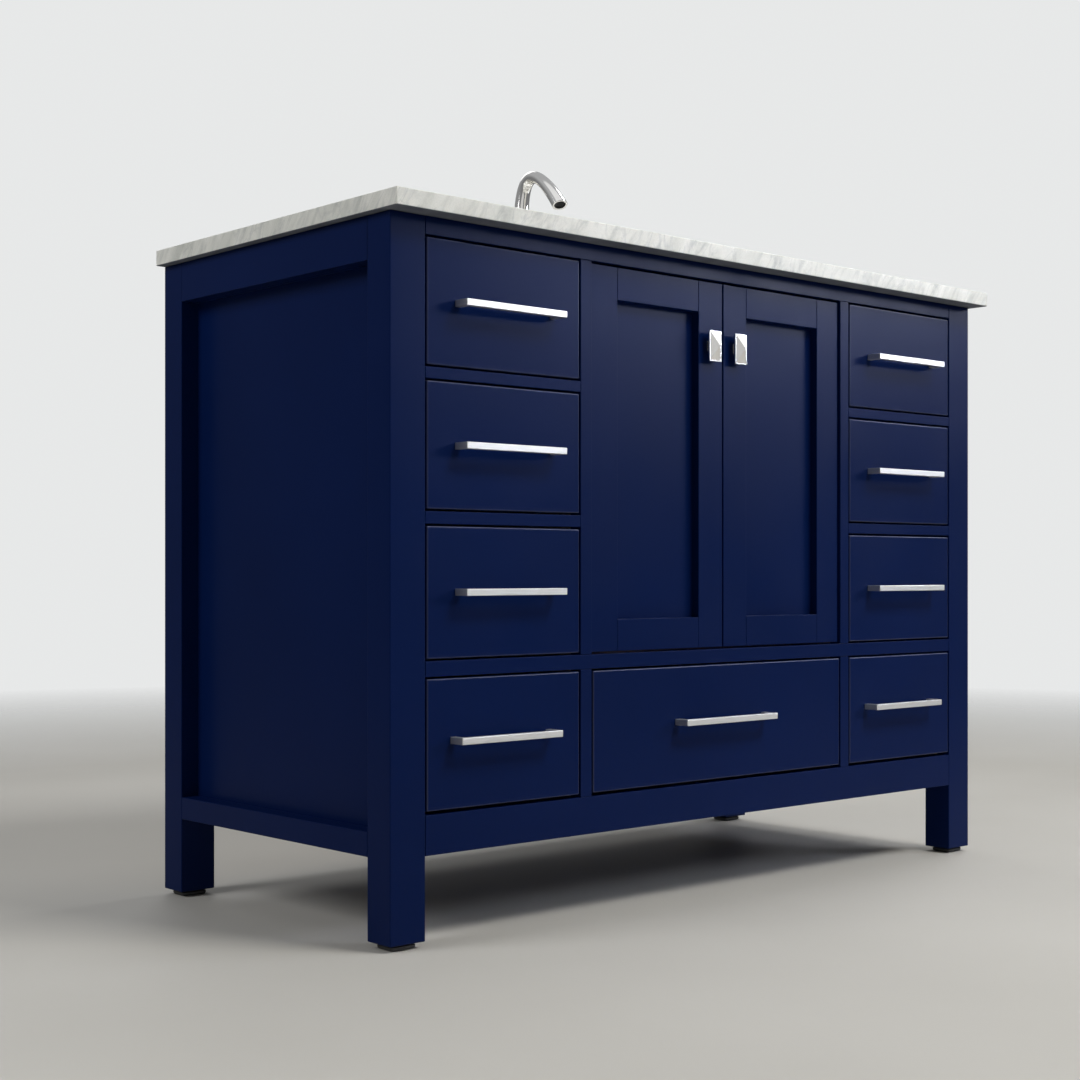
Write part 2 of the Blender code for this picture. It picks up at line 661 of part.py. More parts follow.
def door(word, side, finishes):
    """A framed door hung on its outer edge: a grooved frame, a flat panel in the groove, and a knob."""
    origin = (side * DOOR_OUTER, DOOR_FRONT, (DOOR_BOTTOM + DOOR_TOP) / 2)
    x_low, x_high = span(side, DOOR_REVEAL / 2, DOOR_OUTER)
    far = DOOR_FRONT + DOOR_THICKNESS
    frame = box(
        f"door_frame_{word}",
        (x_low, DOOR_FRONT, DOOR_BOTTOM),
        (x_high, far, DOOR_TOP),
        finishes["navy_paint"],
        origin=origin,
    )
    in_low, in_high = x_low + DOOR_STILE, x_high - DOOR_STILE
    z_low, z_high = DOOR_BOTTOM_RAIL_TOP, DOOR_TOP_RAIL_BOTTOM
    low = (in_low, DOOR_FRONT - DOOR_THICKNESS, z_low)
    high = (in_high, far + DOOR_THICKNESS, z_high)
    cut_box(frame, f"door_opening_{word}", low, high)
    near = DOOR_FRONT + DOOR_PANEL_SETBACK
    back = near + DOOR_PANEL_THICKNESS
    low = Vector((in_low - DOOR_GROOVE, near, z_low - DOOR_GROOVE))
    high = Vector((in_high + DOOR_GROOVE, back, z_high + DOOR_GROOVE))
    cut_box(frame, f"door_groove_{word}", low, high)
    inset = Vector((CLEAR, CLEAR, CLEAR))
    box(f"door_panel_{word}", low + inset, high - inset, finishes["navy_paint"], origin=origin)
    x = side * (DOOR_REVEAL / 2 + DOOR_STILE / 2 + KNOB_OFFSET)
    knob(f"door_knob_{word}", x, finishes["brushed_nickel"], origin)


def hinge(word, side, place_word, z, finishes):
    """The fixed half of a concealed hinge: a plate on the partition under an arm that reaches the door."""
    thick, length, height = HINGE_PLATE
    wall = PARTITION_INNER - CLEAR
    near = DOOR_FRONT + DOOR_THICKNESS + 0.003
    x_low, x_high = span(side, wall - thick, wall)
    y = near + HINGE_ARM[1] - length
    low, high = (x_low, y, z - height / 2), (x_high, y + length, z + height / 2)
    plate = box(f"hinge_{place_word}_{word}", low, high, finishes["steel"])
    reach, run, tall = HINGE_ARM
    x_low, x_high = span(side, wall - reach, wall - thick + CLEAR)
    low, high = (x_low, near, z - tall / 2), (x_high, near + run, z + tall / 2)
    join_box(plate, f"hinge_arm_{place_word}_{word}", low, high)


def doors(finishes):
    for word, side in SIDES:
        door(word, side, finishes)
        for place_word, z in HINGE_HEIGHTS:
            hinge(word, side, place_word, z, finishes)


def build():
    clear_scene()
    finishes = make_materials()
    posts(finishes)
    side_panels(finishes)
    partitions(finishes)
    face_frame(finishes)
    inner_boards(finishes)
    back_panel(finishes)
    countertop(finishes)
    basin(finishes)
    drain(finishes)
    faucet(finishes)
    drawers(finishes)
    doors(finishes)


build()
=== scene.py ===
"""Looks of a navy bathroom vanity: painted posts, frame, doors and drawer fronts, a veined stone top with
an undermounted basin, chrome faucet, nickel pulls and knobs, and the birch and steel inside."""

import json
import math

import bmesh
import bpy
from mathutils import Matrix, Vector

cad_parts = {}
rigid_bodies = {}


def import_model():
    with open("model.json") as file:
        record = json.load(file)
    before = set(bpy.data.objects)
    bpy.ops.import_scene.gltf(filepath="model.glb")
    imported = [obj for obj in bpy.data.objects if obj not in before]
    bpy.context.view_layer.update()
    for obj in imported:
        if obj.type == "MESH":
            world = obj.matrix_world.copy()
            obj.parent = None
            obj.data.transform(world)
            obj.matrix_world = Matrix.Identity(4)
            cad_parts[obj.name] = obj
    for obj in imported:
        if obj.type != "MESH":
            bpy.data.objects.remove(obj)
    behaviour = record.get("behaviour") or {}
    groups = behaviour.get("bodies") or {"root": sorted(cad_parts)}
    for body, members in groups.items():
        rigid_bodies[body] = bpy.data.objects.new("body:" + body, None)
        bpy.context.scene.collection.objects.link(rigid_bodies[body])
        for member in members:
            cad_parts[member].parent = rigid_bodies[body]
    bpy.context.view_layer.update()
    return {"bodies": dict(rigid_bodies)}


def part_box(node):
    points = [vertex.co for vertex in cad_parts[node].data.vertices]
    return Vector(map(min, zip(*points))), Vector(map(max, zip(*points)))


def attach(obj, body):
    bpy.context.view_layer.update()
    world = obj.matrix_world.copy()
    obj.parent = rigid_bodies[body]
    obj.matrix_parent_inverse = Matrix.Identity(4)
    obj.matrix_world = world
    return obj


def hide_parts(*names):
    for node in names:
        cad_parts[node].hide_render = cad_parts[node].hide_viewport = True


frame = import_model()

# Lengths are in metres and angles in degrees.
CAMERA_PLACE = (-1.8757, -1.9203, 0.4581)
CAMERA_YAW = 41.03
CAMERA_LENS = 58.43
CAMERA_SHIFT = (0.0370, 0.0295)

REVEAL = 0.0025
BOTTOM_REVEAL = 0.0042
FRAME_EASE = 0.0006
JOINT = 0.00012
POST_EASE = 0.0013
FRONT_EASE = 0.0018
DOOR_EASE = 0.0009
DOOR_STILE = 0.0492
KNOB_PEAK = 0.0085
SIDE_TOP_RAIL = 0.0546
SIDE_BOTTOM_RAIL = 0.0308
SIDE_RAIL = 0.020
SIDE_RECESS = 0.027
PANEL_THICKNESS = 0.009
LEDGER = 0.020
BATTEN_HALF = 0.030
PARTITION = 0.018
LIPPING = 0.040
BACK_CUTOUT = ((-0.18, 0.47), (0.18, 0.72))
BOX_WALL = 0.012
BOX_FLOOR = (0.010, 0.016)
STEEL_GAUGE = 0.0013
CHANNEL_LENGTH = 0.450
CHANNEL_HEIGHT = 0.045
CHANNEL_DEPTH = 0.0105
BAR_HEIGHT = 0.032
BAR_DEPTH = 0.0095
BAR_GAUGE = 0.0012
CUTOUT_X = 0.205
CUTOUT_Y = 0.1425
BASIN_CORNER = 0.060
FAUCET_HOLE = 0.0175
SHANK_RADIUS = 0.0105
FAUCET_GAP = 0.0003
SPOUT_FOOT = 0.0265
HANDLE_FOOT = 0.025
SPOUT_REACH = 0.091
SPOUT_COLUMN = 0.105
SPOUT_RISE = 0.1035
SPOUT_MOUTH = 0.119
SPOUT_SLOPE = (0.042, 0.058)
SPOUT_RADIUS = 0.0106
COLUMN_RADIUS = 0.0122
FLARE_START = 0.35
MOUTH_RADIUS = 0.0138
MOUTH_FLATNESS = 0.78
ROUND = 40

SIDES = (("left", -1), ("right", 1))
DRAWERS = sorted(name for name in frame["bodies"] if name.startswith("drawer_"))


# ---- material nodes

def frame_of(axis):
    """The axis and two more, all square to each other and of unit length."""
    axis = Vector(axis).normalized()
    across = axis.orthogonal().normalized()
    return axis, across, axis.cross(across)


def node(tree, kind, inputs=None, **settings):
    made = tree.nodes.new(kind)
    for key, value in settings.items():
        setattr(made, key, value)
    for key, value in (inputs or {}).items():
        if isinstance(value, bpy.types.NodeSocket):
            tree.links.new(value, made.inputs[key])
        else:
            made.inputs[key].default_value = value
    return made


def surface(name, roughness, metallic=0.0, **sockets):
    made = bpy.data.materials.new(name)
    made.use_nodes = True
    shader = made.node_tree.nodes["Principled BSDF"]
    shader.inputs["Roughness"].default_value = roughness
    shader.inputs["Metallic"].default_value = metallic
    for key, value in sockets.items():
        shader.inputs[key.replace("_", " ")].default_value = value
    return made, made.node_tree, shader


def coordinates(tree):
    return node(tree, "ShaderNodeTexCoord").outputs["Object"]


def mapped(tree, stretch=(1, 1, 1), shift=(0, 0, 0)):
    inputs = {"Vector": coordinates(tree), "Scale": stretch, "Location": shift}
    return node(tree, "ShaderNodeMapping", inputs).outputs["Vector"]


def noise(tree, scale, detail=2.0, vector=None, distortion=0.0):
    inputs = {"Vector": vector or mapped(tree), "Scale": scale, "Detail": detail, "Distortion": distortion}
    return node(tree, "ShaderNodeTexNoise", inputs).outputs["Fac"]


def layered(tree, normal, fine, coarse, shift=0.0):
    """Coordinates that change fast along the normal and slowly across it, for veins and bands."""
    axis, across, up = frame_of(normal)
    parts = []
    for direction, scale in ((axis, fine), (across, coarse), (up, coarse)):
        inputs = {0: coordinates(tree), 1: direction * scale}
        made = node(tree, "ShaderNodeVectorMath", inputs, operation="DOT_PRODUCT")
        parts.append(maths(tree, "ADD", made.outputs["Value"], shift))
    inputs = dict(zip("XYZ", parts))
    return node(tree, "ShaderNodeCombineXYZ", inputs).outputs["Vector"]


def ramp(tree, factor, *stops):
    """Colour by factor, from (position, colour) stops."""
    made = node(tree, "ShaderNodeValToRGB", {"Fac": factor})
    elements = made.color_ramp.elements
    while len(elements) < len(stops):
        elements.new(0.5)
    for element, (position, colour) in zip(elements, stops):
        element.position = position
        element.color = (*colour, 1.0)
    return made.outputs["Color"]


def shades(tree, factor, dark, light):
    return ramp(tree, factor, (0.3, dark), (0.7, light))


def spread(tree, factor, low, high, start=0.3, end=0.7):
    inputs = {"Value": factor, "From Min": start, "From Max": end, "To Min": low, "To Max": high}
    return node(tree, "ShaderNodeMapRange", inputs).outputs["Result"]


def maths(tree, operation, first, second):
    made = node(tree, "ShaderNodeMath", {0: first, 1: second}, operation=operation)
    return made.outputs["Value"]


def blend_colours(tree, factor, first, second, kind="MIX"):
    made = node(tree, "ShaderNodeMix", data_type="RGBA", blend_type=kind)
    for index, value in ((0, factor), (6, first), (7, second)):
        if isinstance(value, bpy.types.NodeSocket):
            tree.links.new(value, made.inputs[index])
        else:
            made.inputs[index].default_value = value if index == 0 else (*value, 1.0)
    return made.outputs[2]


def complete(tree, shader, colour, roughness, relief, depth, strength):
    """Links the colour, the roughness and the fine relief, which is depth deep, to the shader."""
    inputs = {"Height": relief, "Distance": depth, "Strength": strength}
    tree.links.new(colour, shader.inputs["Base Color"])
    tree.links.new(roughness, shader.inputs["Roughness"])
    tree.links.new(node(tree, "ShaderNodeBump", inputs).outputs["Normal"], shader.inputs["Normal"])


def navy_lacquer(name, specular, roughness):
    made, tree, shader = surface(name, roughness[0], Specular_IOR_Level=specular)
    colour = shades(tree, noise(tree, 2.2, 3.0), (0.0014, 0.0082, 0.0510), (0.0021, 0.0104, 0.0630))
    sheen = spread(tree, noise(tree, 11.0, 5.0), *roughness)
    sand = maths(tree, "MULTIPLY", noise(tree, 1500.0, 1.0), 0.2)
    peel = maths(tree, "ADD", noise(tree, 330.0, 1.0), sand)
    complete(tree, shader, colour, sheen, peel, 0.00003, 0.6)
    return made


def veined_marble():
    """White marble with soft grey veins that climb to the right on the front and on the left side."""
    made, tree, shader = surface("veined_marble", 0.30, Specular_IOR_Level=0.10)
    slant = (1.0, -1.0, -0.7)
    white = (1.0, 1.0, 1.0)
    band = noise(tree, 1.0, 5.0, layered(tree, slant, 34.0, 9.0), 0.8)
    cream = ((0.30, (0.68, 0.685, 0.635)), (0.52, (0.77, 0.77, 0.72)), (0.70, (0.82, 0.815, 0.77)))
    streak = noise(tree, 1.0, 6.0, layered(tree, slant, 95.0, 20.0, 4.0), 0.6)
    pale_streaks = ((0.34, (0.80, 0.81, 0.81)), (0.50, (0.97, 0.97, 0.965)), (0.60, white))
    base = blend_colours(tree, 0.8, ramp(tree, band, *cream), ramp(tree, streak, *pale_streaks), "MULTIPLY")
    veins = ((40.0, 12.0, 7.0, 0.034, 0.26), (17.0, 6.0, 2.0, 0.020, 0.34))
    for fine, coarse, shift, width, strength in veins:
        warp = noise(tree, 1.0, 7.0, layered(tree, slant, fine, coarse, shift), 0.9)
        ridge = maths(tree, "ABSOLUTE", maths(tree, "SUBTRACT", warp, 0.5), 0.0)
        vein = spread(tree, ridge, 1.0, 0.0, 0.0, width)
        broad = noise(tree, 9.0, 2.0, mapped(tree, shift=(shift, 2.0, 4.0)))
        patch = spread(tree, broad, 0.0, strength, 0.42, 0.60)
        base = blend_colours(tree, maths(tree, "MULTIPLY", vein, patch), base, (0.36, 0.38, 0.385))
    grain = ramp(tree, noise(tree, 620.0, 3.0), (0.36, (0.93, 0.93, 0.93)), (0.60, white))
    colour = blend_colours(tree, 0.9, base, grain, "MULTIPLY")
    polish = spread(tree, noise(tree, 40.0, 4.0), 0.24, 0.36)
    complete(tree, shader, colour, polish, noise(tree, 260.0, 3.0), 0.00001, 0.5)
    return made


def sawn_marble_painted_shade():
    """The slab's unpolished underside, darker with painted shade from under the overhang."""
    made, tree, shader = surface("sawn_marble_painted_shade", 0.80, Specular_IOR_Level=0.10)
    # Dark grey in place of the white stone: painted shade for the underside of the slab.
    painted_shade = shades(tree, noise(tree, 30.0, 6.0), (0.115, 0.125, 0.150), (0.165, 0.175, 0.200))
    matt = spread(tree, noise(tree, 90.0, 3.0), 0.72, 0.88)
    lines = noise(tree, 1.0, 2.0, mapped(tree, (18.0, 700.0, 700.0)))
    complete(tree, shader, painted_shade, matt, lines, 0.0002, 0.6)
    return made


def porcelain():
    made, tree, shader = surface("porcelain", 0.08, Coat_Weight=0.4, Coat_Roughness=0.04)
    shade = shades(tree, noise(tree, 5.0, 3.0), (0.84, 0.84, 0.82), (0.88, 0.88, 0.865))
    glaze = spread(tree, noise(tree, 20.0, 3.0), 0.05, 0.12)
    complete(tree, shader, shade, glaze, noise(tree, 55.0, 2.0), 0.00006, 0.4)
    return made


def brushed_metal(name, dark, light, stretch, roughness, scratch, metallic=1.0):
    """Metal with fine parallel lines: stretch is small along the brushing."""
    made, tree, shader = surface(name, sum(roughness) / 2, metallic)
    lines = noise(tree, 1.0, 3.0, mapped(tree, stretch))
    broad = maths(tree, "MULTIPLY", noise(tree, 25.0, 4.0), 0.35)
    mixed = maths(tree, "ADD", maths(tree, "MULTIPLY", lines, 0.65), broad)
    rough = spread(tree, mixed, *roughness)
    complete(tree, shader, shades(tree, lines, dark, light), rough, lines, scratch, 0.5)
    return made


def chrome():
    made, tree, shader = surface("polished_chrome", 0.06, 1.0)
    tint = shades(tree, noise(tree, 9.0, 3.0), (0.80, 0.785, 0.76), (0.87, 0.855, 0.83))
    smudge = spread(tree, noise(tree, 30.0, 6.0, distortion=0.8), 0.07, 0.16, 0.35, 0.75)
    complete(tree, shader, tint, smudge, noise(tree, 90.0, 2.0), 0.00001, 0.3)
    return made


def birch(name, along, dark, light):
    """Clear-lacquered wood with its grain along the given axis index."""
    made, tree, shader = surface(name, 0.45, Specular_IOR_Level=0.4)
    stretch = [1.0 if axis != along else 0.07 for axis in range(3)]
    rings = noise(tree, 38.0, 5.0, mapped(tree, stretch), 1.1)
    figure = ramp(tree, rings, (0.32, dark), (0.52, light), (0.70, tuple(0.93 * c for c in light)))
    fibre_stretch = [520.0 if axis != along else 14.0 for axis in range(3)]
    fibre = noise(tree, 1.0, 2.0, mapped(tree, fibre_stretch))
    shade = ramp(tree, fibre, (0.35, (0.84, 0.82, 0.79)), (0.62, (1.0, 1.0, 1.0)))
    colour = blend_colours(tree, 0.8, figure, shade, "MULTIPLY")
    complete(tree, shader, colour, spread(tree, fibre, 0.52, 0.38), fibre, 0.00005, 0.5)
    return made


def ply_edge(name, across):
    """The cut edge of plywood: plies about 1.4 mm thick, stacked along the given axis index."""
    made, tree, shader = surface(name, 0.62)
    depth = node(tree, "ShaderNodeSeparateXYZ", {"Vector": coordinates(tree)}).outputs[across]
    wobble = maths(tree, "MULTIPLY", noise(tree, 60.0, 2.0), 0.0006)
    layer = maths(tree, "MULTIPLY", maths(tree, "ADD", depth, wobble), 1.0 / 0.0028)
    band = maths(tree, "PINGPONG", layer, 0.5)
    plies = ramp(tree, band, (0.22, (0.30, 0.17, 0.08)), (0.30, (0.60, 0.43, 0.26)))
    speckle = ramp(tree, noise(tree, 700.0, 2.0), (0.35, (0.75, 0.72, 0.68)), (0.6, (1.0, 1.0, 1.0)))
    colour = blend_colours(tree, 0.8, plies, speckle, "MULTIPLY")
    rough = spread(tree, noise(tree, 300.0, 2.0), 0.5, 0.75)
    complete(tree, shader, colour, rough, noise(tree, 900.0, 2.0), 0.0001, 0.5)
    return made


def moulded_plastic(name, dark, light, roughness):
    made, tree, shader = surface(name, roughness)
    shade = shades(tree, noise(tree, 60.0, 3.0), dark, light)
    rough = spread(tree, noise(tree, 150.0, 2.0), roughness - 0.08, roughness + 0.08)
    complete(tree, shader, shade, rough, noise(tree, 1400.0, 2.0), 0.00008, 0.6)
    return made


NAVY = navy_lacquer("navy_lacquer", 0.055, (0.29, 0.38))
RUBBED_NAVY = navy_lacquer("rubbed_navy_lacquer", 0.45, (0.30, 0.40))
MARBLE = veined_marble()
SAWN_MARBLE_PAINTED_SHADE = sawn_marble_painted_shade()
PORCELAIN = porcelain()
CHROME = chrome()
NICKEL = brushed_metal(
    "brushed_nickel",
    (0.70, 0.695, 0.67), (0.76, 0.755, 0.73), (30.0, 900.0, 900.0), (0.38, 0.44), 0.000002, 0.86,
)
KNOB_NICKEL = brushed_metal(
    "satin_nickel", (0.83, 0.82, 0.80), (0.87, 0.86, 0.84), (500.0, 500.0, 14.0), (0.15, 0.20), 0.000001
)
STEEL = brushed_metal(
    "zinc_steel", (0.44, 0.45, 0.46), (0.62, 0.63, 0.64), (260.0, 8.0, 260.0), (0.28, 0.42), 0.00002
)
BIRCH = [
    birch(f"birch_along_{axis}", index, (0.50, 0.345, 0.205), (0.66, 0.495, 0.325))
    for index, axis in enumerate("xyz")
]
MAPLE = [
    birch(f"maple_along_{axis}", index, (0.60, 0.45, 0.29), (0.74, 0.59, 0.41))
    for index, axis in enumerate("xyz")
]
PLY_EDGE = [ply_edge(f"ply_edge_across_{axis}", index) for index, axis in enumerate("xyz")]
FOOT_PLASTIC = moulded_plastic("foot_plastic", (0.022, 0.022, 0.023), (0.034, 0.034, 0.035), 0.55)
CLEAR_BUMPER = moulded_plastic("bumper_rubber", (0.50, 0.51, 0.50), (0.60, 0.61, 0.60), 0.38)


# ---- mesh helpers

def merge(bm, part):
    mesh = bpy.data.meshes.new("part")
    part.to_mesh(mesh)
    part.free()
    bm.from_mesh(mesh)
    bpy.data.meshes.remove(mesh)


def add_box(bm, low, high, ease=0.0, segments=3):
    low, high = Vector(low), Vector(high)
    part = bmesh.new()
    bmesh.ops.create_cube(part, size=1.0)
    bmesh.ops.scale(part, vec=high - low, verts=part.verts)
    bmesh.ops.translate(part, vec=(low + high) / 2, verts=part.verts)
    if ease:
        edges = part.edges[:]
        bmesh.ops.bevel(part, geom=edges, offset=ease, segments=segments, profile=0.5, affect="EDGES")
    merge(bm, part)


def add_loft(bm, rings, close=False):
    """Skins rings of equally many points. A ring of one point is a tip."""
    part = bmesh.new()
    loops = [[part.verts.new(point) for point in ring] for ring in rings]
    pairs = list(zip(loops, loops[1:]))
    if close:
        pairs.append((loops[-1], loops[0]))
    for first, second in pairs:
        count = max(len(first), len(second))
        for index in range(count):
            after = (index + 1) % count
            corners = [first[index % len(first)], first[after % len(first)]]
            corners += [second[after % len(second)], second[index % len(second)]]
            part.faces.new(list(dict.fromkeys(corners)))
    if not close:
        for end in (loops[0], loops[-1]):
            if len(end) > 2:
                part.faces.new(end)
    bmesh.ops.recalc_face_normals(part, faces=part.faces)
    merge(bm, part)


def add_turned(bm, origin, axis, profile, steps=ROUND, close=False, lobes=()):
    """Turns (radius, distance) pairs about the axis. lobes gives a ring's index a four-lobed outline."""
    axis, across, up = frame_of(axis)
    origin = Vector(origin)
    rings = []
    for index, (radius, distance) in enumerate(profile):
        ring = []
        for step in range(steps if radius > 1e-6 else 1):
            angle = 2 * math.pi * step / steps
            reach = radius * (1.0 + (0.45 * math.cos(4 * angle) if index in lobes else 0.0))
            ring.append(origin + axis * distance + reach * (across * math.cos(angle) + up * math.sin(angle)))
        rings.append(ring)
    add_loft(bm, rings, close)


def add_screw(bm, place, axis, radius=0.0034):
    """A pan head with a cross recess, its underside at the place."""
    rise = radius * 0.55
    profile = (
        (radius * 0.55, -radius * 0.8), (radius, -radius * 0.05), (radius, rise * 0.35),
        (radius * 0.86, rise * 0.82), (radius * 0.60, rise), (radius * 0.36, rise),
        (radius * 0.30, rise * 0.2), (0.0, rise * 0.1),
    )
    add_turned(bm, place, axis, profile, 24, lobes=(5, 6))


def add_slab(bm, outline, holes, near, far, axis=2):
    """Extrudes a flat outline with holes from near to far along the axis."""
    part = bmesh.new()

    def point(u, v):
        place = [u, v]
        place.insert(axis, near)
        return part.verts.new(place)

    edges = []
    for loop in (outline, *holes):
        corners = [point(u, v) for u, v in loop]
        edges += [part.edges.new(pair) for pair in zip(corners, corners[1:] + corners[:1])]
    bmesh.ops.triangle_fill(part, use_beauty=True, edges=edges)
    grown = bmesh.ops.extrude_face_region(part, geom=part.faces[:])["geom"]
    shift = Vector((0.0, 0.0, 0.0))
    shift[axis] = far - near
    bmesh.ops.translate(part, vec=shift, verts=[v for v in grown if isinstance(v, bmesh.types.BMVert)])
    bmesh.ops.recalc_face_normals(part, faces=part.faces)
    merge(bm, part)


def rectangle(low, high):
    return [(low[0], low[1]), (high[0], low[1]), (high[0], high[1]), (low[0], high[1])]


def rounded_rectangle(half_x, half_y, corner, centre=(0.0, 0.0), steps=8):
    points = []
    for quarter, (sign_x, sign_y) in enumerate(((1, 1), (-1, 1), (-1, -1), (1, -1))):
        x = centre[0] + sign_x * (half_x - corner)
        y = centre[1] + sign_y * (half_y - corner)
        for step in range(steps + 1):
            angle = (quarter + step / steps) * math.pi / 2
            points.append((x + corner * math.cos(angle), y + corner * math.sin(angle)))
    return points


def circle(centre, radius, steps=ROUND):
    turn = 2 * math.pi / steps
    return [
        (centre[0] + radius * math.cos(i * turn), centre[1] + radius * math.sin(i * turn))
        for i in range(steps)
    ]


def piece(name, bm, finish, body, replaces=(), ease=0.0, edge_finish=None, flat_axis=None, smooth=0):
    """Makes the object. With edge_finish, the faces that don't look along flat_axis take that finish."""
    mesh = bpy.data.meshes.new(name)
    bm.to_mesh(mesh)
    bm.free()
    mesh.materials.append(finish)
    if edge_finish:
        mesh.materials.append(edge_finish)
        for polygon in mesh.polygons:
            polygon.material_index = int(abs(polygon.normal[flat_axis]) < 0.7)
    mesh.shade_smooth()
    mesh.set_sharp_from_angle(angle=math.radians(40.0))
    obj = bpy.data.objects.new(name, mesh)
    bpy.context.scene.collection.objects.link(obj)
    if ease:
        bevel = obj.modifiers.new("eased_edges", "BEVEL")
        bevel.width = ease
        bevel.segments = 3
        bevel.limit_method = "ANGLE"
        bevel.angle_limit = math.radians(40.0)
        bevel.harden_normals = True
    if smooth:
        subdivision = obj.modifiers.new("smooth_surface", "SUBSURF")
        subdivision.levels = smooth
        subdivision.render_levels = smooth
    else:
        weighted = obj.modifiers.new("weighted_normals", "WEIGHTED_NORMAL")
        weighted.keep_sharp = True
    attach(obj, body)
    if replaces:
        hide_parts(*replaces)
    return obj


def board(name, low, high, finish, body, slot, replaces=(), ease=0.0006, edge_finish=None, flat_axis=None):
    bm = bmesh.new()
    add_box(bm, low, high, ease)
    return piece(name, bm, finish, body, replaces, 0.0, edge_finish, flat_axis)


def paint_faces(obj, finish, chosen):
    """Gives the faces whose normals are chosen their own finish."""
    mesh = obj.data
    mesh.materials.append(finish)
    for polygon in mesh.polygons:
        if chosen(polygon.normal):
            polygon.material_index = len(mesh.materials) - 1


def plywood(name, low, high, grain, flat_axis, body, replaces=()):
    return board(
        name, low, high, BIRCH[grain], body, "birch", replaces, 0.0004, PLY_EDGE[flat_axis], flat_axis
    )


# ---- painted case

def posts_and_feet():
    for corner in ("front_left", "front_right", "back_left", "back_right"):
        post = f"post_{corner}"
        board(f"leg_{corner}", *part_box(post), NAVY, "cabinet", "navy_paint", (post,), POST_EASE)
        foot(f"foot_pad_{corner}", f"glide_{corner}")


def foot(node_name, name):
    """A moulded glide: a pad with a rounded lower edge under a narrower neck."""
    low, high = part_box(node_name)
    centre = ((low.x + high.x) / 2, (low.y + high.y) / 2)
    half_x, half_y = (high.x - low.x) / 2, (high.y - low.y) / 2
    shoulder = 0.62 * (high.z - low.z)
    rings = []
    for inset, level in ((0.0030, 0.0), (0.0008, 0.0010), (0.0, 0.0026), (0.0, shoulder), (0.0030, high.z)):
        outline = rounded_rectangle(half_x - inset, half_y - inset, 0.005, centre, 4)
        rings.append([Vector((x, y, low.z + level)) for x, y in outline])
    bm = bmesh.new()
    add_loft(bm, rings)
    piece(name, bm, FOOT_PLASTIC, "cabinet", (node_name,))


def openings():
    """For each drawer, the opening in the face frame around its front: x range and z range."""
    found = {}
    for name in DRAWERS:
        low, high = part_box(f"{name}_front")
        lift = BOTTOM_REVEAL if name.endswith(("_4", "centre")) else REVEAL
        found[name] = (low.x - REVEAL, high.x + REVEAL, low.z - lift, high.z + REVEAL)
    return found


def face_frame():
    """Rails and stiles as separate members that meet in hairline joints."""
    low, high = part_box("face_frame")
    hole = openings()
    left, centre = hole["drawer_left_1"], hole["drawer_centre"]
    bay_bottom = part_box("door_frame_left")[0].z - REVEAL
    members = {
        "rail_top": (low.x, high.x, left[3], high.z),
        "rail_bottom": (low.x, high.x, low.z, centre[2]),
        "rail_middle": (low.x, high.x, centre[3], bay_bottom),
    }
    for word, side in SIDES:
        inner, outer = centre[1], -left[1]
        x_low, x_high = sorted((side * inner, side * outer))
        members[f"stile_upper_{word}"] = (x_low, x_high, bay_bottom, left[3])
        members[f"stile_lower_{word}"] = (x_low, x_high, centre[2], centre[3])
        for row in (1, 2):
            upper, lower = hole[f"drawer_{word}_{row}"], hole[f"drawer_{word}_{row + 1}"]
            members[f"rail_{word}_{row}"] = (upper[0], upper[1], lower[3], upper[2])
    for name, (x_low, x_high, z_low, z_high) in members.items():
        corners = (x_low + JOINT, low.y, z_low + JOINT), (x_high - JOINT, high.y, z_high - JOINT)
        replaced = ("face_frame",) if name == "rail_top" else ()
        board(f"frame_{name}", *corners, NAVY, "cabinet", "navy_paint", replaced, FRAME_EASE)


def side_frames():
    """Each side: rails flush with the posts, a recessed panel, and the ledger and battens inside."""
    for word, side in SIDES:
        low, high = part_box(f"side_panel_{word}")
        outer = max(abs(low.x), abs(high.x))
        y_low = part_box(f"post_front_{word}")[1].y + JOINT
        y_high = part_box(f"post_back_{word}")[0].y - JOINT

        def strip(name, near, far, z_low, z_high, ease, replaces=(), paint=True):
            x_low, x_high = sorted((side * near, side * far))
            board(
                f"side_{name}_{word}", (x_low, y_low, z_low), (x_high, y_high, z_high),
                NAVY if paint else BIRCH[1], "cabinet", "navy_paint" if paint else "birch", replaces, ease,
            )

        rail_inner = outer - SIDE_RAIL
        panel_outer = outer - SIDE_RECESS
        panel_inner = panel_outer - PANEL_THICKNESS
        top, base = high.z, low.z
        under, over = top - SIDE_TOP_RAIL, base + SIDE_BOTTOM_RAIL
        strip("rail_top", rail_inner, outer, under, top, 0.0010, (f"side_panel_{word}",))
        strip("rail_bottom", rail_inner, outer, base, over, 0.0010)
        strip("panel", panel_inner, panel_outer, base + 0.001, top - 0.001, 0.0005)
        strip("moulding_top", panel_outer, rail_inner, under, top, 0.0003)
        strip("moulding_bottom", panel_outer, rail_inner, base, over, 0.0003)
        clear = abs(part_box(f"post_front_{word}")[0 if side > 0 else 1].x)
        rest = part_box("bottom_panel")[0].z - 0.0003
        strip("ledger", clear - LEDGER, panel_inner, rest - LEDGER, rest, 0.0006, paint=False)
        for row in range(1, 5):
            middle = runner_height(f"drawer_{word}_{row}")
            z_low, z_high = middle - BATTEN_HALF, middle + BATTEN_HALF
            strip(f"batten_{row}", clear, panel_inner, z_low, z_high, 0.0006, paint=False)
            channel(f"outer_{word}_{row}", side * clear, -side, middle)


def runner_height(drawer_name):
    low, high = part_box(f"{drawer_name}_box")
    return (low.z + high.z) / 2


# ---- runners

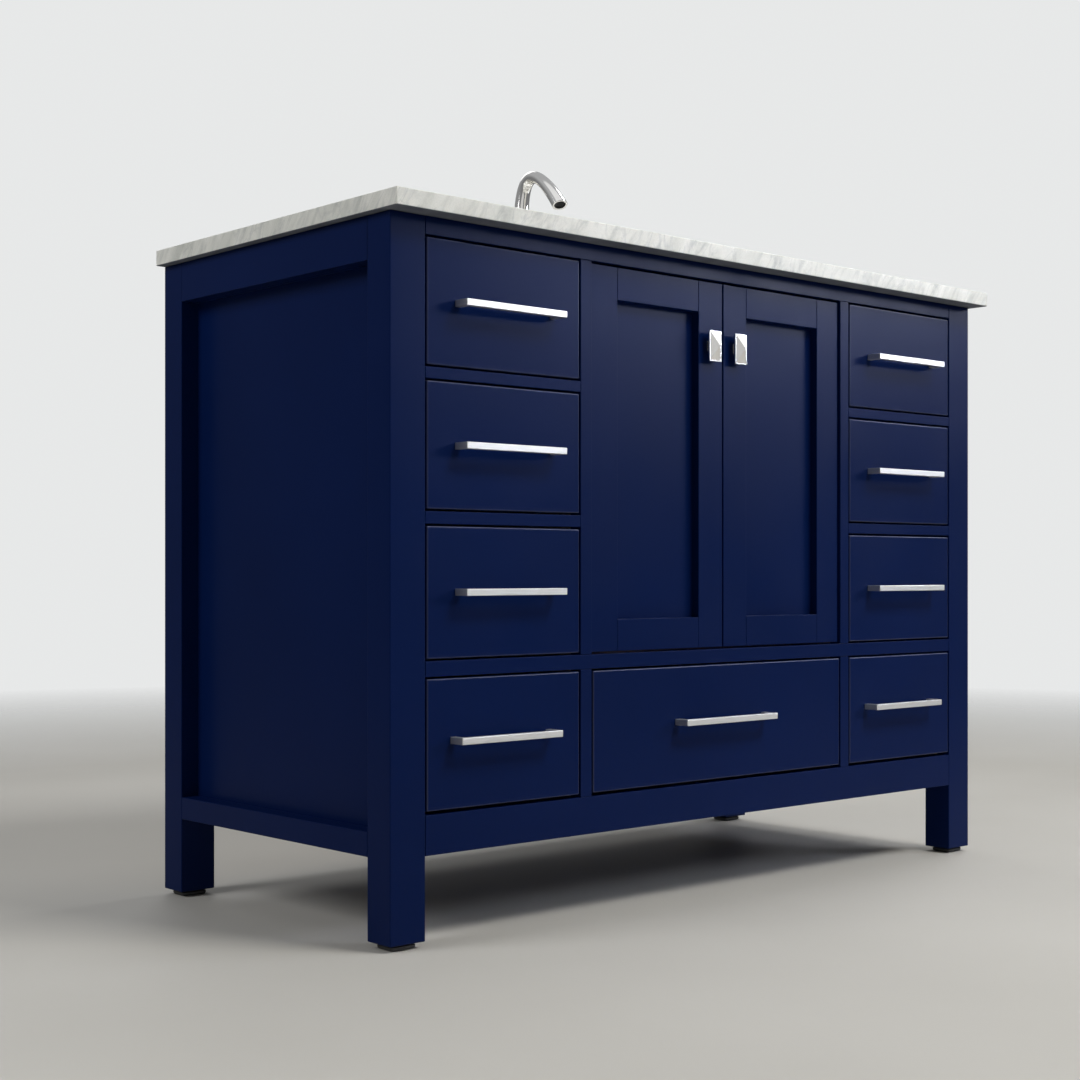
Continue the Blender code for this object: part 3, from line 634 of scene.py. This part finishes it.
def rolled_profile(height, depth, gauge, radius):
    """A C section as (out, up) points: web at out = 0, flanges towards +out, with rounded outer corners."""
    half = height / 2
    outer = [(depth, -half)]
    for step in range(5):
        angle = math.pi / 2 * step / 4
        outer.append((radius - radius * math.sin(angle), -half + radius - radius * math.cos(angle)))
    outer += [(x, -z) for x, z in reversed(outer)]
    inner = [(depth, half - gauge), (gauge + radius / 2, half - gauge), (gauge, half - gauge - radius / 2)]
    inner += [(x, -z) for x, z in reversed(inner)]
    return outer + inner


def add_channel(bm, wall, direction, middle, near, far, height, depth, gauge=STEEL_GAUGE):
    outline = rolled_profile(height, depth, gauge, 0.0022)
    rings = [[Vector((wall + direction * x, y, middle + z)) for x, z in outline] for y in (near, far)]
    add_loft(bm, rings)


def add_ball(bm, centre, radius):
    part = bmesh.new()
    bmesh.ops.create_icosphere(part, subdivisions=2, radius=radius, matrix=Matrix.Translation(centre))
    merge(bm, part)


def channel(name, wall, direction, middle):
    """The fixed runner member on a wall, with its ball cages just inside the lips."""
    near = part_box("face_frame")[1].y + 0.0006
    far = near + CHANNEL_LENGTH
    bm = bmesh.new()
    add_channel(bm, wall, direction, middle, near, far, CHANNEL_HEIGHT, CHANNEL_DEPTH)
    for y in (near + 0.040, near + 0.220, near + 0.400):
        add_screw(bm, (wall + direction * STEEL_GAUGE, y, middle), (direction, 0, 0), 0.0030)
    piece(f"runner_channel_{name}", bm, STEEL, "cabinet")
    bm = bmesh.new()
    centre = Vector((wall + direction * 0.0062, near, middle))
    for level in (-0.0186, 0.0186):
        low, high = Vector((-0.0016, 0.030, level - 0.0004)), Vector((0.0016, 0.180, level + 0.0004))
        add_box(bm, centre + low, centre + high, 0.0002, 1)
        for ball in range(12):
            add_ball(bm, centre + Vector((0.0, 0.036 + 0.0125 * ball, level)), 0.0021)
    piece(f"ball_cage_{name}", bm, STEEL, "cabinet")


# ---- inner boards

def partitions():
    for word, side in SIDES:
        low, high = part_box(f"partition_{word}")
        bay = abs(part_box(f"hinge_upper_{word}")[1 if side > 0 else 0].x) + 0.0003
        far = bay + PARTITION
        x_low, x_high = sorted((side * bay, side * far))
        low, high = (x_low, low.y, low.z), (x_high, high.y, high.z)
        plywood(f"upright_{word}", low, high, 2, 0, "cabinet", (f"partition_{word}",))
        for row in range(1, 5):
            channel(f"inner_{word}_{row}", side * far, side, runner_height(f"drawer_{word}_{row}"))
        channel(f"bay_{word}", side * bay, -side, runner_height("drawer_centre"))


def inner_boards():
    """The case bottom, painted below; the floor under the sink, lipped with painted wood; the back."""
    low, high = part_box("bottom_panel")
    panel = plywood("case_bottom", low, high, 0, 2, "cabinet", ("bottom_panel",))
    paint_faces(panel, NAVY, lambda normal: min(normal.y, normal.z) < -0.7)
    low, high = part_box("bay_floor")
    lipped = low.y + LIPPING
    plywood("sink_bay_floor", (low.x, lipped + JOINT, low.z), high, 0, 2, "cabinet", ("bay_floor",))
    board("sink_bay_lipping", low, (high.x, lipped, high.z), NAVY, "cabinet", "navy_paint")
    low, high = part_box("back_panel")
    bm = bmesh.new()
    outline = rectangle((low.x, low.z), (high.x, high.z))
    add_slab(bm, outline, [rectangle(*BACK_CUTOUT)], low.y, high.y, 1)
    piece("case_back", bm, BIRCH[0], "cabinet", ("back_panel",), 0.0004, PLY_EDGE[1], 1)
    bm = bmesh.new()
    first, last = low.z + 0.020, high.z - 0.020
    for step in range(8):
        x = low.x + 0.030 + (high.x - low.x - 0.060) * step / 7
        for level in (first, last):
            add_screw(bm, (x, high.y, level), (0, 1, 0), 0.0036)
    for x in (-0.272, 0.272):
        for step in range(1, 5):
            add_screw(bm, (x, high.y, first + (last - first) * step / 5), (0, 1, 0), 0.0036)
    piece("case_back_screws", bm, STEEL, "cabinet")


# ---- drawers

def dovetails(length, count=3, slope=0.0016):
    """Tail edges along a board's height, as (height, half slope) pairs from the bottom up."""
    pitch = length / count
    edges = []
    for tail in range(count):
        edges.append((tail + 0.22) * pitch)
        edges.append((tail + 0.78) * pitch)
    return [(edge, slope if index % 2 else -slope) for index, edge in enumerate(edges)]


def side_outline(near, far, low, high):
    """A drawer side in (y, z), with tails at both ends reaching past the front and back boards."""
    cuts = dovetails(high - low)
    points = [(near + BOX_WALL, low)]
    for start in range(0, len(cuts), 2):
        (bottom, lean), (top, _) = cuts[start], cuts[start + 1]
        points += [
            (near + BOX_WALL, low + bottom), (near, low + bottom + lean),
            (near, low + top - lean), (near + BOX_WALL, low + top),
        ]
    points.append((near + BOX_WALL, high))
    mirrored = [(near + far - y, z) for y, z in reversed(points)]
    return points + mirrored


def drawer_box(name, body):
    """Four dovetailed walls, a plywood floor in their groove and a runner bar on each side."""
    low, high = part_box(f"{name}_box")
    near, far = low.y, high.y
    x_low, x_high = low.x + BAR_DEPTH, high.x - BAR_DEPTH
    for word, x in (("left", x_low), ("right", x_high - BOX_WALL)):
        outline = side_outline(near, far, low.z, high.z)
        bm = bmesh.new()
        add_loft(bm, [[Vector((x + shift, y, z)) for y, z in outline] for shift in (0.0, BOX_WALL)])
        replaced = (f"{name}_box",) if word == "left" else ()
        piece(f"{name}_side_{word}", bm, MAPLE[1], body, replaced, 0.0003)
    height = high.z - low.z
    edges = [(0.0, 0.0), *dovetails(height), (height, 0.0)]
    for word, face_y, back_y in (
        ("inner_front", near, near + BOX_WALL), ("back", far, far - BOX_WALL),
    ):
        y_low, y_high = sorted((face_y, back_y))
        bm = bmesh.new()
        add_box(bm, (x_low + BOX_WALL, y_low, low.z), (x_high - BOX_WALL, y_high, high.z), 0.0003, 1)
        for (bottom, lean_low), (top, lean_high) in zip(edges[::2], edges[1::2]):
            bottom, top = low.z + bottom, low.z + top
            section = (
                (face_y, bottom - lean_low), (face_y, top - lean_high), (back_y, top), (back_y, bottom),
            )
            for ends in ((x_low + 0.0001, x_low + BOX_WALL), (x_high - BOX_WALL, x_high - 0.0001)):
                add_loft(bm, [[Vector((x, y, z)) for y, z in section] for x in ends])
        piece(f"{name}_{word}", bm, MAPLE[0], body)
    groove = BOX_WALL - 0.004
    floor_low = (x_low + groove, near + groove, low.z + BOX_FLOOR[0])
    floor_high = (x_high - groove, far - groove, low.z + BOX_FLOOR[1])
    plywood(f"{name}_floor", floor_low, floor_high, 1, 2, body)
    middle = (low.z + high.z) / 2
    for word, wall, direction in (("left", x_low, -1), ("right", x_high, 1)):
        bm = bmesh.new()
        bar = (near + 0.001, far - BOX_WALL, BAR_HEIGHT, BAR_DEPTH, BAR_GAUGE)
        add_channel(bm, wall, direction, middle, *bar)
        for y in (near + 0.030, near + 0.200, near + 0.370):
            add_screw(bm, (wall + direction * BAR_GAUGE, y, middle), (direction, 0, 0), 0.0030)
        piece(f"{name}_runner_{word}", bm, STEEL, body)


def drawer(name):
    front = f"{name}_front"
    slab = board(f"{name}_slab", *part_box(front), NAVY, name, "navy_paint", (front,), FRONT_EASE)
    paint_faces(slab, RUBBED_NAVY, lambda normal: max(map(abs, normal)) < 0.995)
    drawer_box(name, name)
    pull(name, name)


def pull(name, body):
    """A square bar bent down into two legs, with the heads of its screws inside the drawer."""
    low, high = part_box(f"{name}_pull")
    bar, leg = 0.008, 0.009
    outline = [
        (low.x, high.y), (low.x, low.y), (high.x, low.y), (high.x, high.y), (high.x - leg, high.y),
        (high.x - leg, low.y + bar), (low.x + leg, low.y + bar), (low.x + leg, high.y),
    ]
    bm = bmesh.new()
    add_loft(bm, [[Vector((x, y, z)) for x, y in outline] for z in (low.z, high.z)])
    piece(f"{name}_bar_pull", bm, NICKEL, body, (f"{name}_pull",), 0.0007)
    bm = bmesh.new()
    box_low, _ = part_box(f"{name}_box")
    for x in (low.x + leg / 2, high.x - leg / 2):
        place = (x, box_low.y + BOX_WALL, (low.z + high.z) / 2)
        add_turned(bm, place, (0, 1, 0), ((0.006, -0.0004), (0.006, 0.0007), (0.0025, 0.0009)), 24)
        add_screw(bm, (place[0], place[1] + 0.0008, place[2]), (0, 1, 0), 0.0042)
    piece(f"{name}_pull_screws", bm, STEEL, body)


# ---- doors

def door(word, side):
    body = f"door_{word}"
    low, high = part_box(f"door_frame_{word}")
    panel_low, panel_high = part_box(f"door_panel_{word}")
    groove = 0.0077
    rail_top, rail_bottom = panel_high.z - groove, panel_low.z + groove
    inner_low, inner_high = low.x + DOOR_STILE, high.x - DOOR_STILE
    members = {
        "stile_outer" if side < 0 else "stile_inner": (low.x, inner_low, low.z, high.z),
        "stile_inner" if side < 0 else "stile_outer": (inner_high, high.x, low.z, high.z),
        "rail_top": (inner_low + JOINT, inner_high - JOINT, rail_top, high.z),
        "rail_bottom": (inner_low + JOINT, inner_high - JOINT, low.z, rail_bottom),
    }
    for name, (x_low, x_high, z_low, z_high) in members.items():
        replaced = (f"door_frame_{word}",) if name == "rail_top" else ()
        board(
            f"door_{word}_{name}", (x_low, low.y, z_low), (x_high, high.y, z_high),
            NAVY, body, "navy_paint", replaced, DOOR_EASE,
        )
    board(
        f"door_{word}_field", panel_low, panel_high, NAVY, body, "navy_paint", (f"door_panel_{word}",), 0.0004
    )
    knob(word, body)
    bm = bmesh.new()
    dome = ((0.005, -0.0003), (0.005, 0.0006), (0.0042, 0.0015), (0.0022, 0.0021), (0.0, 0.0022))
    x = (low.x + 0.012) if side > 0 else (high.x - 0.012)
    for z in (low.z + 0.020, high.z - 0.020):
        add_turned(bm, (x, high.y, z), (0, 1, 0), dome, 24)
    piece(f"door_{word}_bumpers", bm, CLEAR_BUMPER, body)
    for level in ("lower", "upper"):
        hinge(word, side, level, body)


def knob(word, body):
    """A square stem, then a tall rectangular head with an eased rim and a four-sided peak."""
    low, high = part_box(f"door_knob_{word}")
    x, z = (low.x + high.x) / 2, (low.z + high.z) / 2
    half_x, half_z = (high.x - low.x) / 2, (high.z - low.z) / 2
    face = low.y + KNOB_PEAK
    thickness, rim, edge = 0.0030, 0.0015, 0.0003
    stem = 0.0055
    foot = stem + 0.0015

    def ring(half_width, half_height, y):
        corners = ((-1, -1), (1, -1), (1, 1), (-1, 1))
        return [Vector((x + a * half_width, y, z + b * half_height)) for a, b in corners]

    rings = [
        ring(foot, foot, high.y), ring(foot, foot, high.y - 0.0012), ring(stem, stem, high.y - 0.0020),
        ring(stem, stem, face + thickness), ring(half_x - edge, half_z - edge, face + thickness),
        ring(half_x, half_z, face + thickness - edge), ring(half_x, half_z, face + edge),
        ring(half_x - edge, half_z - edge, face), ring(half_x - rim, half_z - rim, face),
        [Vector((x, low.y, z))],
    ]
    bm = bmesh.new()
    add_loft(bm, rings)
    obj = piece(f"knob_{word}", bm, KNOB_NICKEL, body, (f"door_knob_{word}",))
    obj.data.set_sharp_from_angle(angle=math.radians(8.0))


def hinge(word, side, level, body):
    """Concealed hinge: plate and arm on the partition, cup and flange in the door's outer stile."""
    node_name = f"hinge_{level}_{word}"
    low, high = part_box(node_name)
    z = (low.z + high.z) / 2
    wall = high.x if side > 0 else low.x
    inward = -side
    bm = bmesh.new()

    def block(near, far, y_low, y_high, half, ease=0.0006):
        x_low, x_high = sorted((wall + inward * near, wall + inward * far))
        add_box(bm, (x_low, y_low, z - half), (x_high, y_high, z + half), ease)

    block(0.0, 0.0022, high.y - 0.036, high.y, 0.0230)
    block(0.0020, 0.0058, high.y - 0.034, high.y - 0.002, 0.0075)
    block(0.0056, 0.0110, low.y + 0.008, high.y - 0.003, 0.0072, 0.0012)
    block(0.0095, 0.0128, low.y + 0.0004, low.y + 0.034, 0.0058, 0.0012)
    for dz in (-0.016, 0.016):
        add_screw(bm, (wall + inward * 0.0022, high.y - 0.018, z + dz), (inward, 0, 0), 0.0036)
    for y in (high.y - 0.010, high.y - 0.026):
        add_screw(bm, (wall + inward * 0.0110, y, z), (inward, 0, 0), 0.0032)
    piece(f"hinge_arm_{level}_{word}", bm, STEEL, "cabinet", (node_name,))
    bm = bmesh.new()
    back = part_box(f"door_frame_{word}")[1].y
    edge = abs(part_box(f"door_frame_{word}")[1 if side > 0 else 0].x)
    cup = side * (edge - 0.0235)
    profile = (
        (0.0172, -0.0100), (0.0175, 0.0), (0.0190, 0.0003), (0.0190, 0.0013), (0.0150, 0.0014),
        (0.0142, -0.0004), (0.0135, -0.0085), (0.0, -0.0088),
    )
    add_turned(bm, (cup, back, z), (0, 1, 0), profile)
    x_low, x_high = cup - 0.0095, cup + 0.0095
    for z_low, z_high in ((z - 0.0290, z - 0.0170), (z + 0.0170, z + 0.0290)):
        add_box(bm, (x_low, back - 0.0002, z_low), (x_high, back + 0.0012, z_high), 0.0005, 2)
        add_screw(bm, (cup, back + 0.0012, (z_low + z_high) / 2), (0, 1, 0), 0.0034)
    piece(f"hinge_cup_{level}_{word}", bm, STEEL, body)


# ---- top, basin, drain

def countertop():
    low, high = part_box("countertop")
    outline = rectangle((low.x, low.y), (high.x, high.y))
    cutout = rounded_rectangle(CUTOUT_X, CUTOUT_Y, BASIN_CORNER, BASIN, 12)
    holes = [circle((x, FAUCET_Y), FAUCET_HOLE) for x in (-SPREAD, 0.0, SPREAD)]
    bm = bmesh.new()
    add_slab(bm, outline, [cutout, *holes], low.z, high.z)
    top = piece("stone_top", bm, MARBLE, "cabinet", ("countertop",), 0.0016)
    # The downward faces take the dark grey stone, which is painted shade under the slab.
    paint_faces(top, SAWN_MARBLE_PAINTED_SHADE, lambda normal: normal.z < -0.7)


def basin():
    """Inner skin, rim, outer skin and drain hole, as outlines set off from the cut-out."""
    low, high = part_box("basin")
    rim, floor = high.z, low.z
    skin = (
        (-0.105, -0.068, 0.055, floor + 0.0122), (-0.055, -0.042, 0.062, floor + 0.0160),
        (-0.030, -0.024, 0.064, floor + 0.0290), (-0.014, -0.011, 0.062, floor + 0.0550),
        (-0.004, -0.003, 0.061, rim - 0.040), (0.0, 0.0, BASIN_CORNER, rim - 0.010),
        (0.001, 0.001, BASIN_CORNER, rim - 0.001), (0.003, 0.003, BASIN_CORNER, rim),
        (0.023, 0.023, 0.075, rim), (0.024, 0.024, 0.075, rim - 0.001),
        (0.024, 0.024, 0.075, rim - 0.009), (0.023, 0.023, 0.075, rim - 0.010),
        (0.012, 0.012, 0.070, rim - 0.011), (0.009, 0.009, 0.068, rim - 0.020),
        (-0.004, -0.002, 0.068, floor + 0.040), (-0.034, -0.026, 0.070, floor + 0.006),
        (-0.055, -0.0425, 0.066, floor + 0.001), (-0.100, -0.065, 0.055, floor),
    )
    outlines = [(CUTOUT_X + x, CUTOUT_Y + y, corner, level) for x, y, corner, level in skin]
    hole = ((0.0300, floor), (0.0225, floor), (0.0225, floor + 0.0100), (0.0290, floor + 0.0104))
    outlines += [(radius, radius, radius - 0.0001, level) for radius, level in hole]
    rings = [
        [Vector((x, y, level)) for x, y in rounded_rectangle(half_x, half_y, corner, BASIN, 6)]
        for half_x, half_y, corner, level in outlines
    ]
    bm = bmesh.new()
    add_loft(bm, rings, close=True)
    piece("bowl", bm, PORCELAIN, "cabinet", ("basin",), smooth=2)
    wall = BASIN[1] + CUTOUT_Y - 0.0085
    bm = bmesh.new()
    profile = ((0.0075, -0.004), (0.0080, 0.0012), (0.0125, 0.0014), (0.0135, 0.0), (0.0125, -0.003))
    add_turned(bm, (0.0, wall, rim - 0.045), (0, -1, 0.12), profile, close=True)
    piece("overflow_ring", bm, CHROME, "cabinet")


def drain():
    """Flange and threaded body with a clamping nut, then the stopper."""
    low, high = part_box("drain_body")
    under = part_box("basin")[0].z - 0.0003
    top = high.z
    bore, body, tail = 0.0170, 0.0203, 0.0190
    profile = [
        (bore, top - 0.0030), (bore + 0.0012, top - 0.0012), (0.0235, top), (0.0285, top - 0.0008),
        (0.0300, top - 0.0020), (0.0296, top - 0.0030), (0.0205, top - 0.0034), (body, under),
    ]
    profile += [(body + 0.0007 * (i % 2), under - 0.002 - 0.0011 * i) for i in range(34)]
    profile += [(tail, low.z + 0.034), (tail, low.z), (bore, low.z)]
    bm = bmesh.new()
    add_turned(bm, (*BASIN, 0.0), (0, 0, 1), profile, close=True)
    nut = (
        (0.0212, under), (0.0315, under), (0.0320, under - 0.001), (0.0320, under - 0.011),
        (0.0212, under - 0.012),
    )
    add_turned(bm, (*BASIN, 0.0), (0, 0, 1), nut, 8, close=True)
    piece("waste_body", bm, CHROME, "cabinet", ("drain_body",))
    low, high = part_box("drain_stopper")
    cap = high.z - 0.0064
    profile = (
        (0.0040, low.z), (0.0055, low.z + 0.002), (0.0055, cap - 0.0030), (0.0120, cap - 0.0010),
        (0.0180, cap), (0.0194, cap + 0.0008), (0.0195, cap + 0.0018), (0.0186, cap + 0.0032),
        (0.0150, cap + 0.0048), (0.0080, cap + 0.0060), (0.0, cap + 0.0064),
    )
    bm = bmesh.new()
    add_turned(bm, (*BASIN, 0.0), (0, 0, 1), profile)
    piece("stopper_cap", bm, CHROME, "stopper", ("drain_stopper",))


# ---- faucet

def add_sweep(bm, stations, steps=ROUND):
    """A tube through (point, tangent, half width along X, half thickness) stations."""
    across = Vector((1.0, 0.0, 0.0))
    rings = []
    for point, tangent, wide, thick in stations:
        up = across.cross(tangent)
        ring = []
        for step in range(steps):
            angle = 2 * math.pi * step / steps
            ring.append(point + across * wide * math.cos(angle) + up * thick * math.sin(angle))
        rings.append(ring)
    add_loft(bm, rings)


def add_wire(bm, start, end, across, along, half=0.0004):
    """A thin square wire, standing on its edge."""
    corners = (-half * across, -half * along, half * across, half * along)
    add_loft(bm, [[place + corner for corner in corners] for place in (start, end)])


def spout():
    """Column, bend and flattened head on one smooth curve, ending in a rounded mouth."""
    up = Vector((0.0, 0.0, 1.0))
    shank = ((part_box("faucet_spout")[0].z - FAUCET_BASE, SHANK_RADIUS), (0.0, SHANK_RADIUS))
    foot_and_column = (
        (0.0, 0.0250), (0.0008, 0.0264), (0.0030, 0.0264), (0.0042, 0.0254), (0.0060, 0.0225),
        (0.0100, 0.0190), (0.0160, 0.0166), (0.0240, 0.0150), (0.0360, 0.0138), (0.0500, 0.0129),
        (0.0750, 0.0124), (SPOUT_COLUMN - FAUCET_GAP, COLUMN_RADIUS),
    )
    stations = []
    for height, radius in (*shank, *foot_and_column):
        stations.append((Vector((0.0, FAUCET_Y, FAUCET_BASE + height)), up, radius, radius))
    start = Vector((0.0, FAUCET_Y, TOP + SPOUT_COLUMN))
    end = Vector((0.0, FAUCET_Y - SPOUT_REACH, TOP + SPOUT_MOUTH))
    rise = start + up * SPOUT_RISE
    drop = end + Vector((0.0, *SPOUT_SLOPE))
    steps = 40
    for step in range(1, steps + 1):
        t = step / steps
        u = 1.0 - t
        point = u**3 * start + 3 * u**2 * t * rise + 3 * u * t**2 * drop + t**3 * end
        tangent = 3 * u**2 * (rise - start) + 6 * u * t * (drop - rise) + 3 * t**2 * (end - drop)
        flare = max(0.0, t - FLARE_START) / (1.0 - FLARE_START)
        narrowing = max(0.0, 1.0 - t / FLARE_START)
        wide = SPOUT_RADIUS + (MOUTH_RADIUS - SPOUT_RADIUS) * flare**1.6
        wide += (COLUMN_RADIUS - SPOUT_RADIUS) * narrowing**1.5
        thick = wide * (1.0 - (1.0 - MOUTH_FLATNESS) * min(1.0, 2.0 * flare))
        stations.append((point, tangent.normalized(), wide, thick))
    mouth = stations[-1]
    point, tangent, wide, thick = mouth
    for inset, depth in ((0.0004, -0.0004), (0.0022, -0.0005), (0.0030, 0.0), (0.0032, 0.0060)):
        stations.append((point - tangent * depth, tangent, wide - inset, thick - inset))
    bm = bmesh.new()
    add_sweep(bm, stations)
    piece("spout", bm, CHROME, "cabinet", ("faucet_spout",))
    aerator(*mouth)


def aerator(point, tangent, wide, thick):
    """Crossed wires in the mouth, with a dark disc behind them."""
    across = Vector((1.0, 0.0, 0.0))
    lift = across.cross(tangent)
    middle = point - tangent * 0.0030
    clearance = 0.0035
    size = (tangent, wide - 0.0034, thick - 0.0034)
    bm = bmesh.new()
    add_sweep(bm, [(point - tangent * depth, *size) for depth in (0.0054, 0.0046)])
    for column in range(-3, 4):
        half = (thick - clearance) * math.sqrt(1.0 - (column / 4.2) ** 2)
        centre = middle + across * column * 0.0024
        add_wire(bm, centre - lift * half, centre + lift * half, across, tangent)
    for row in range(-2, 3):
        half = (wide - clearance) * math.sqrt(1.0 - (row / 3.2) ** 2)
        centre = middle + lift * row * 0.0022
        add_wire(bm, centre - across * half, centre + across * half, lift, tangent)
    piece("aerator_mesh", bm, FOOT_PLASTIC, "cabinet")


def handle(word, side):
    """Bell-shaped hub with a blade lever that narrows, then swells at its tip."""
    x = side * SPREAD
    node_name = f"faucet_handle_{word}"
    shank = ((SHANK_RADIUS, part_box(node_name)[0].z - FAUCET_BASE), (SHANK_RADIUS, 0.0))
    bell = (
        (0.0236, 0.0), (HANDLE_FOOT, 0.0008), (HANDLE_FOOT, 0.0030), (0.0240, 0.0042), (0.0208, 0.0062),
        (0.0180, 0.0110), (0.0160, 0.0180), (0.0145, 0.0270), (0.0136, 0.0370), (0.0138, 0.0430),
        (0.0148, 0.0480), (0.0147, 0.0520), (0.0128, 0.0560), (0.0080, 0.0583), (0.0, 0.0590),
    )
    bm = bmesh.new()
    add_turned(bm, (x, FAUCET_Y, FAUCET_BASE), (0, 0, 1), (*shank, *bell))
    piece(f"handle_hub_{word}", bm, CHROME, f"handle_{word}", (node_name,))
    rings = []
    for reach, half_y, centre, half_z in (
        (0.002, 0.0092, 0.0490, 0.0050), (0.016, 0.0086, 0.0500, 0.0048), (0.030, 0.0072, 0.0520, 0.0040),
        (0.044, 0.0070, 0.0545, 0.0034), (0.058, 0.0080, 0.0570, 0.0030), (0.068, 0.0084, 0.0588, 0.0026),
        (0.0728, 0.0070, 0.0597, 0.0020), (0.0740, 0.0050, 0.0600, 0.0012),
    ):
        outline = rounded_rectangle(half_y, half_z, half_z * 0.95, (FAUCET_Y, TOP + centre), 4)
        rings.append([Vector((x + side * reach, y, z)) for y, z in outline])
    bm = bmesh.new()
    add_loft(bm, rings)
    piece(f"handle_lever_{word}", bm, CHROME, f"handle_{word}", smooth=1)


# ---- stage

def area_light(name, place, target, size, power, colour=(1.0, 1.0, 1.0), spread_angle=180.0):
    """A rectangle that shines from place to target; a small spread_angle narrows the beam."""
    data = bpy.data.lights.new(name, "AREA")
    data.shape = "RECTANGLE"
    data.size, data.size_y = size
    data.energy = power
    data.color = colour
    data.spread = math.radians(spread_angle)
    obj = bpy.data.objects.new(name, data)
    obj.location = place
    obj.rotation_mode = "QUATERNION"
    obj.rotation_quaternion = (Vector(target) - Vector(place)).to_track_quat("-Z", "Y")
    bpy.context.scene.collection.objects.link(obj)


def plain_floor():
    """A pale disc that fades out far from the object."""
    made, tree, shader = surface("pale_floor", 0.55, Specular_IOR_Level=0.3)
    shade = shades(tree, noise(tree, 1.3, 5.0), (0.52, 0.505, 0.465), (0.56, 0.545, 0.505))
    tree.links.new(shade, shader.inputs["Base Color"])
    away = node(tree, "ShaderNodeVectorMath", {0: coordinates(tree)}, operation="LENGTH")
    clear = node(tree, "ShaderNodeBsdfTransparent").outputs[0]
    fading = spread(tree, away.outputs["Value"], 0.0, 1.0, 1.8, 4.6)
    inputs = {0: fading, 1: shader.outputs[0], 2: clear}
    fade = node(tree, "ShaderNodeMixShader", inputs)
    tree.links.new(fade.outputs[0], tree.nodes["Material Output"].inputs["Surface"])
    bm = bmesh.new()
    bmesh.ops.create_circle(bm, cap_ends=True, segments=96, radius=14.0)
    mesh = bpy.data.meshes.new("floor")
    bm.to_mesh(mesh)
    bm.free()
    mesh.materials.append(made)
    floor = bpy.data.objects.new("floor", mesh)
    bpy.context.scene.collection.objects.link(floor)


def studio_world():
    """Dim light from all round, brighter reflections higher up, and a pale backdrop for the camera."""
    world = bpy.data.worlds.new("studio")
    bpy.context.scene.world = world
    world.use_nodes = True
    sky = world.node_tree
    tint = (0.95, 0.97, 1.0, 1.0)
    direction = node(sky, "ShaderNodeTexCoord").outputs["Generated"]
    height = node(sky, "ShaderNodeSeparateXYZ", {"Vector": direction}).outputs["Z"]
    ambient = node(sky, "ShaderNodeBackground", {"Color": tint, "Strength": 0.03})
    strength = spread(sky, height, 0.20, 0.45, 0.05, 0.65)
    reflected = node(sky, "ShaderNodeBackground", {"Color": tint, "Strength": strength})
    seen = node(sky, "ShaderNodeBackground", {"Color": (0.80, 0.81, 0.81, 1.0), "Strength": 1.0})
    path = node(sky, "ShaderNodeLightPath")
    inputs = {0: path.outputs["Is Glossy Ray"], 1: ambient.outputs[0], 2: reflected.outputs[0]}
    lit = node(sky, "ShaderNodeMixShader", inputs)
    inputs = {0: path.outputs["Is Camera Ray"], 1: lit.outputs[0], 2: seen.outputs[0]}
    shown = node(sky, "ShaderNodeMixShader", inputs)
    sky.links.new(shown.outputs[0], sky.nodes["World Output"].inputs["Surface"])


def lights():
    bluish = (0.90, 0.95, 1.12)
    area_light("window", (3.75, -3.1, 2.0), (0.1, -0.2, 1.10), (2.0, 0.8), 11.0, bluish, 60.0)
    area_light("key", (0.9, -2.7, 3.8), (0.0, 0.0, 0.5), (1.4, 1.1), 118.0, (1.0, 0.985, 0.95))
    area_light("overhead", (-0.2, -0.9, 3.4), (0.0, -0.2, 0.4), (3.2, 2.2), 9.0)
    area_light("left_fill", (-3.4, 0.5, 2.5), (-0.6, 0.0, 0.5), (1.4, 1.6), 55.0, (0.97, 0.98, 1.0))
    area_light("front_card", (-3.3, -3.5, 1.3), (0.0, 0.0, 0.6), (3.2, 2.4), 11.0, (1.0, 0.99, 0.97))
    area_light("side_card", (2.9, -2.2, 3.1), (0.0, 0.0, 0.7), (1.6, 1.2), 7.0)
    area_light("rim", (2.4, 0.2, 3.0), (0.0, 0.0, 0.5), (1.0, 0.8), 32.0)
    area_light("back_fill", (1.0, 3.0, 3.2), (0.0, 0.0, 0.6), (2.2, 1.6), 24.0)


def camera():
    data = bpy.data.cameras.new("camera")
    data.lens = CAMERA_LENS
    data.shift_x, data.shift_y = CAMERA_SHIFT
    obj = bpy.data.objects.new("camera", data)
    obj.location = CAMERA_PLACE
    obj.rotation_euler = (math.radians(90.0), 0.0, -math.radians(CAMERA_YAW))
    bpy.context.scene.collection.objects.link(obj)
    bpy.context.scene.camera = obj
    bpy.context.scene.view_settings.view_transform = "Standard"


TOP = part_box("countertop")[1].z
FAUCET_BASE = TOP + FAUCET_GAP
FAUCET_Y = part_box("faucet_spout")[1].y - SPOUT_FOOT
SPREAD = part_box("faucet_handle_right")[0].x + HANDLE_FOOT
BOWL_LOW, BOWL_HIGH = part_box("basin")
BASIN = ((BOWL_LOW.x + BOWL_HIGH.x) / 2, (BOWL_LOW.y + BOWL_HIGH.y) / 2)

posts_and_feet()
face_frame()
side_frames()
partitions()
inner_boards()
for drawer_name in DRAWERS:
    drawer(drawer_name)
for side_word, side_sign in SIDES:
    door(side_word, side_sign)
    handle(side_word, side_sign)
countertop()
basin()
drain()
spout()
plain_floor()
studio_world()
lights()
camera()
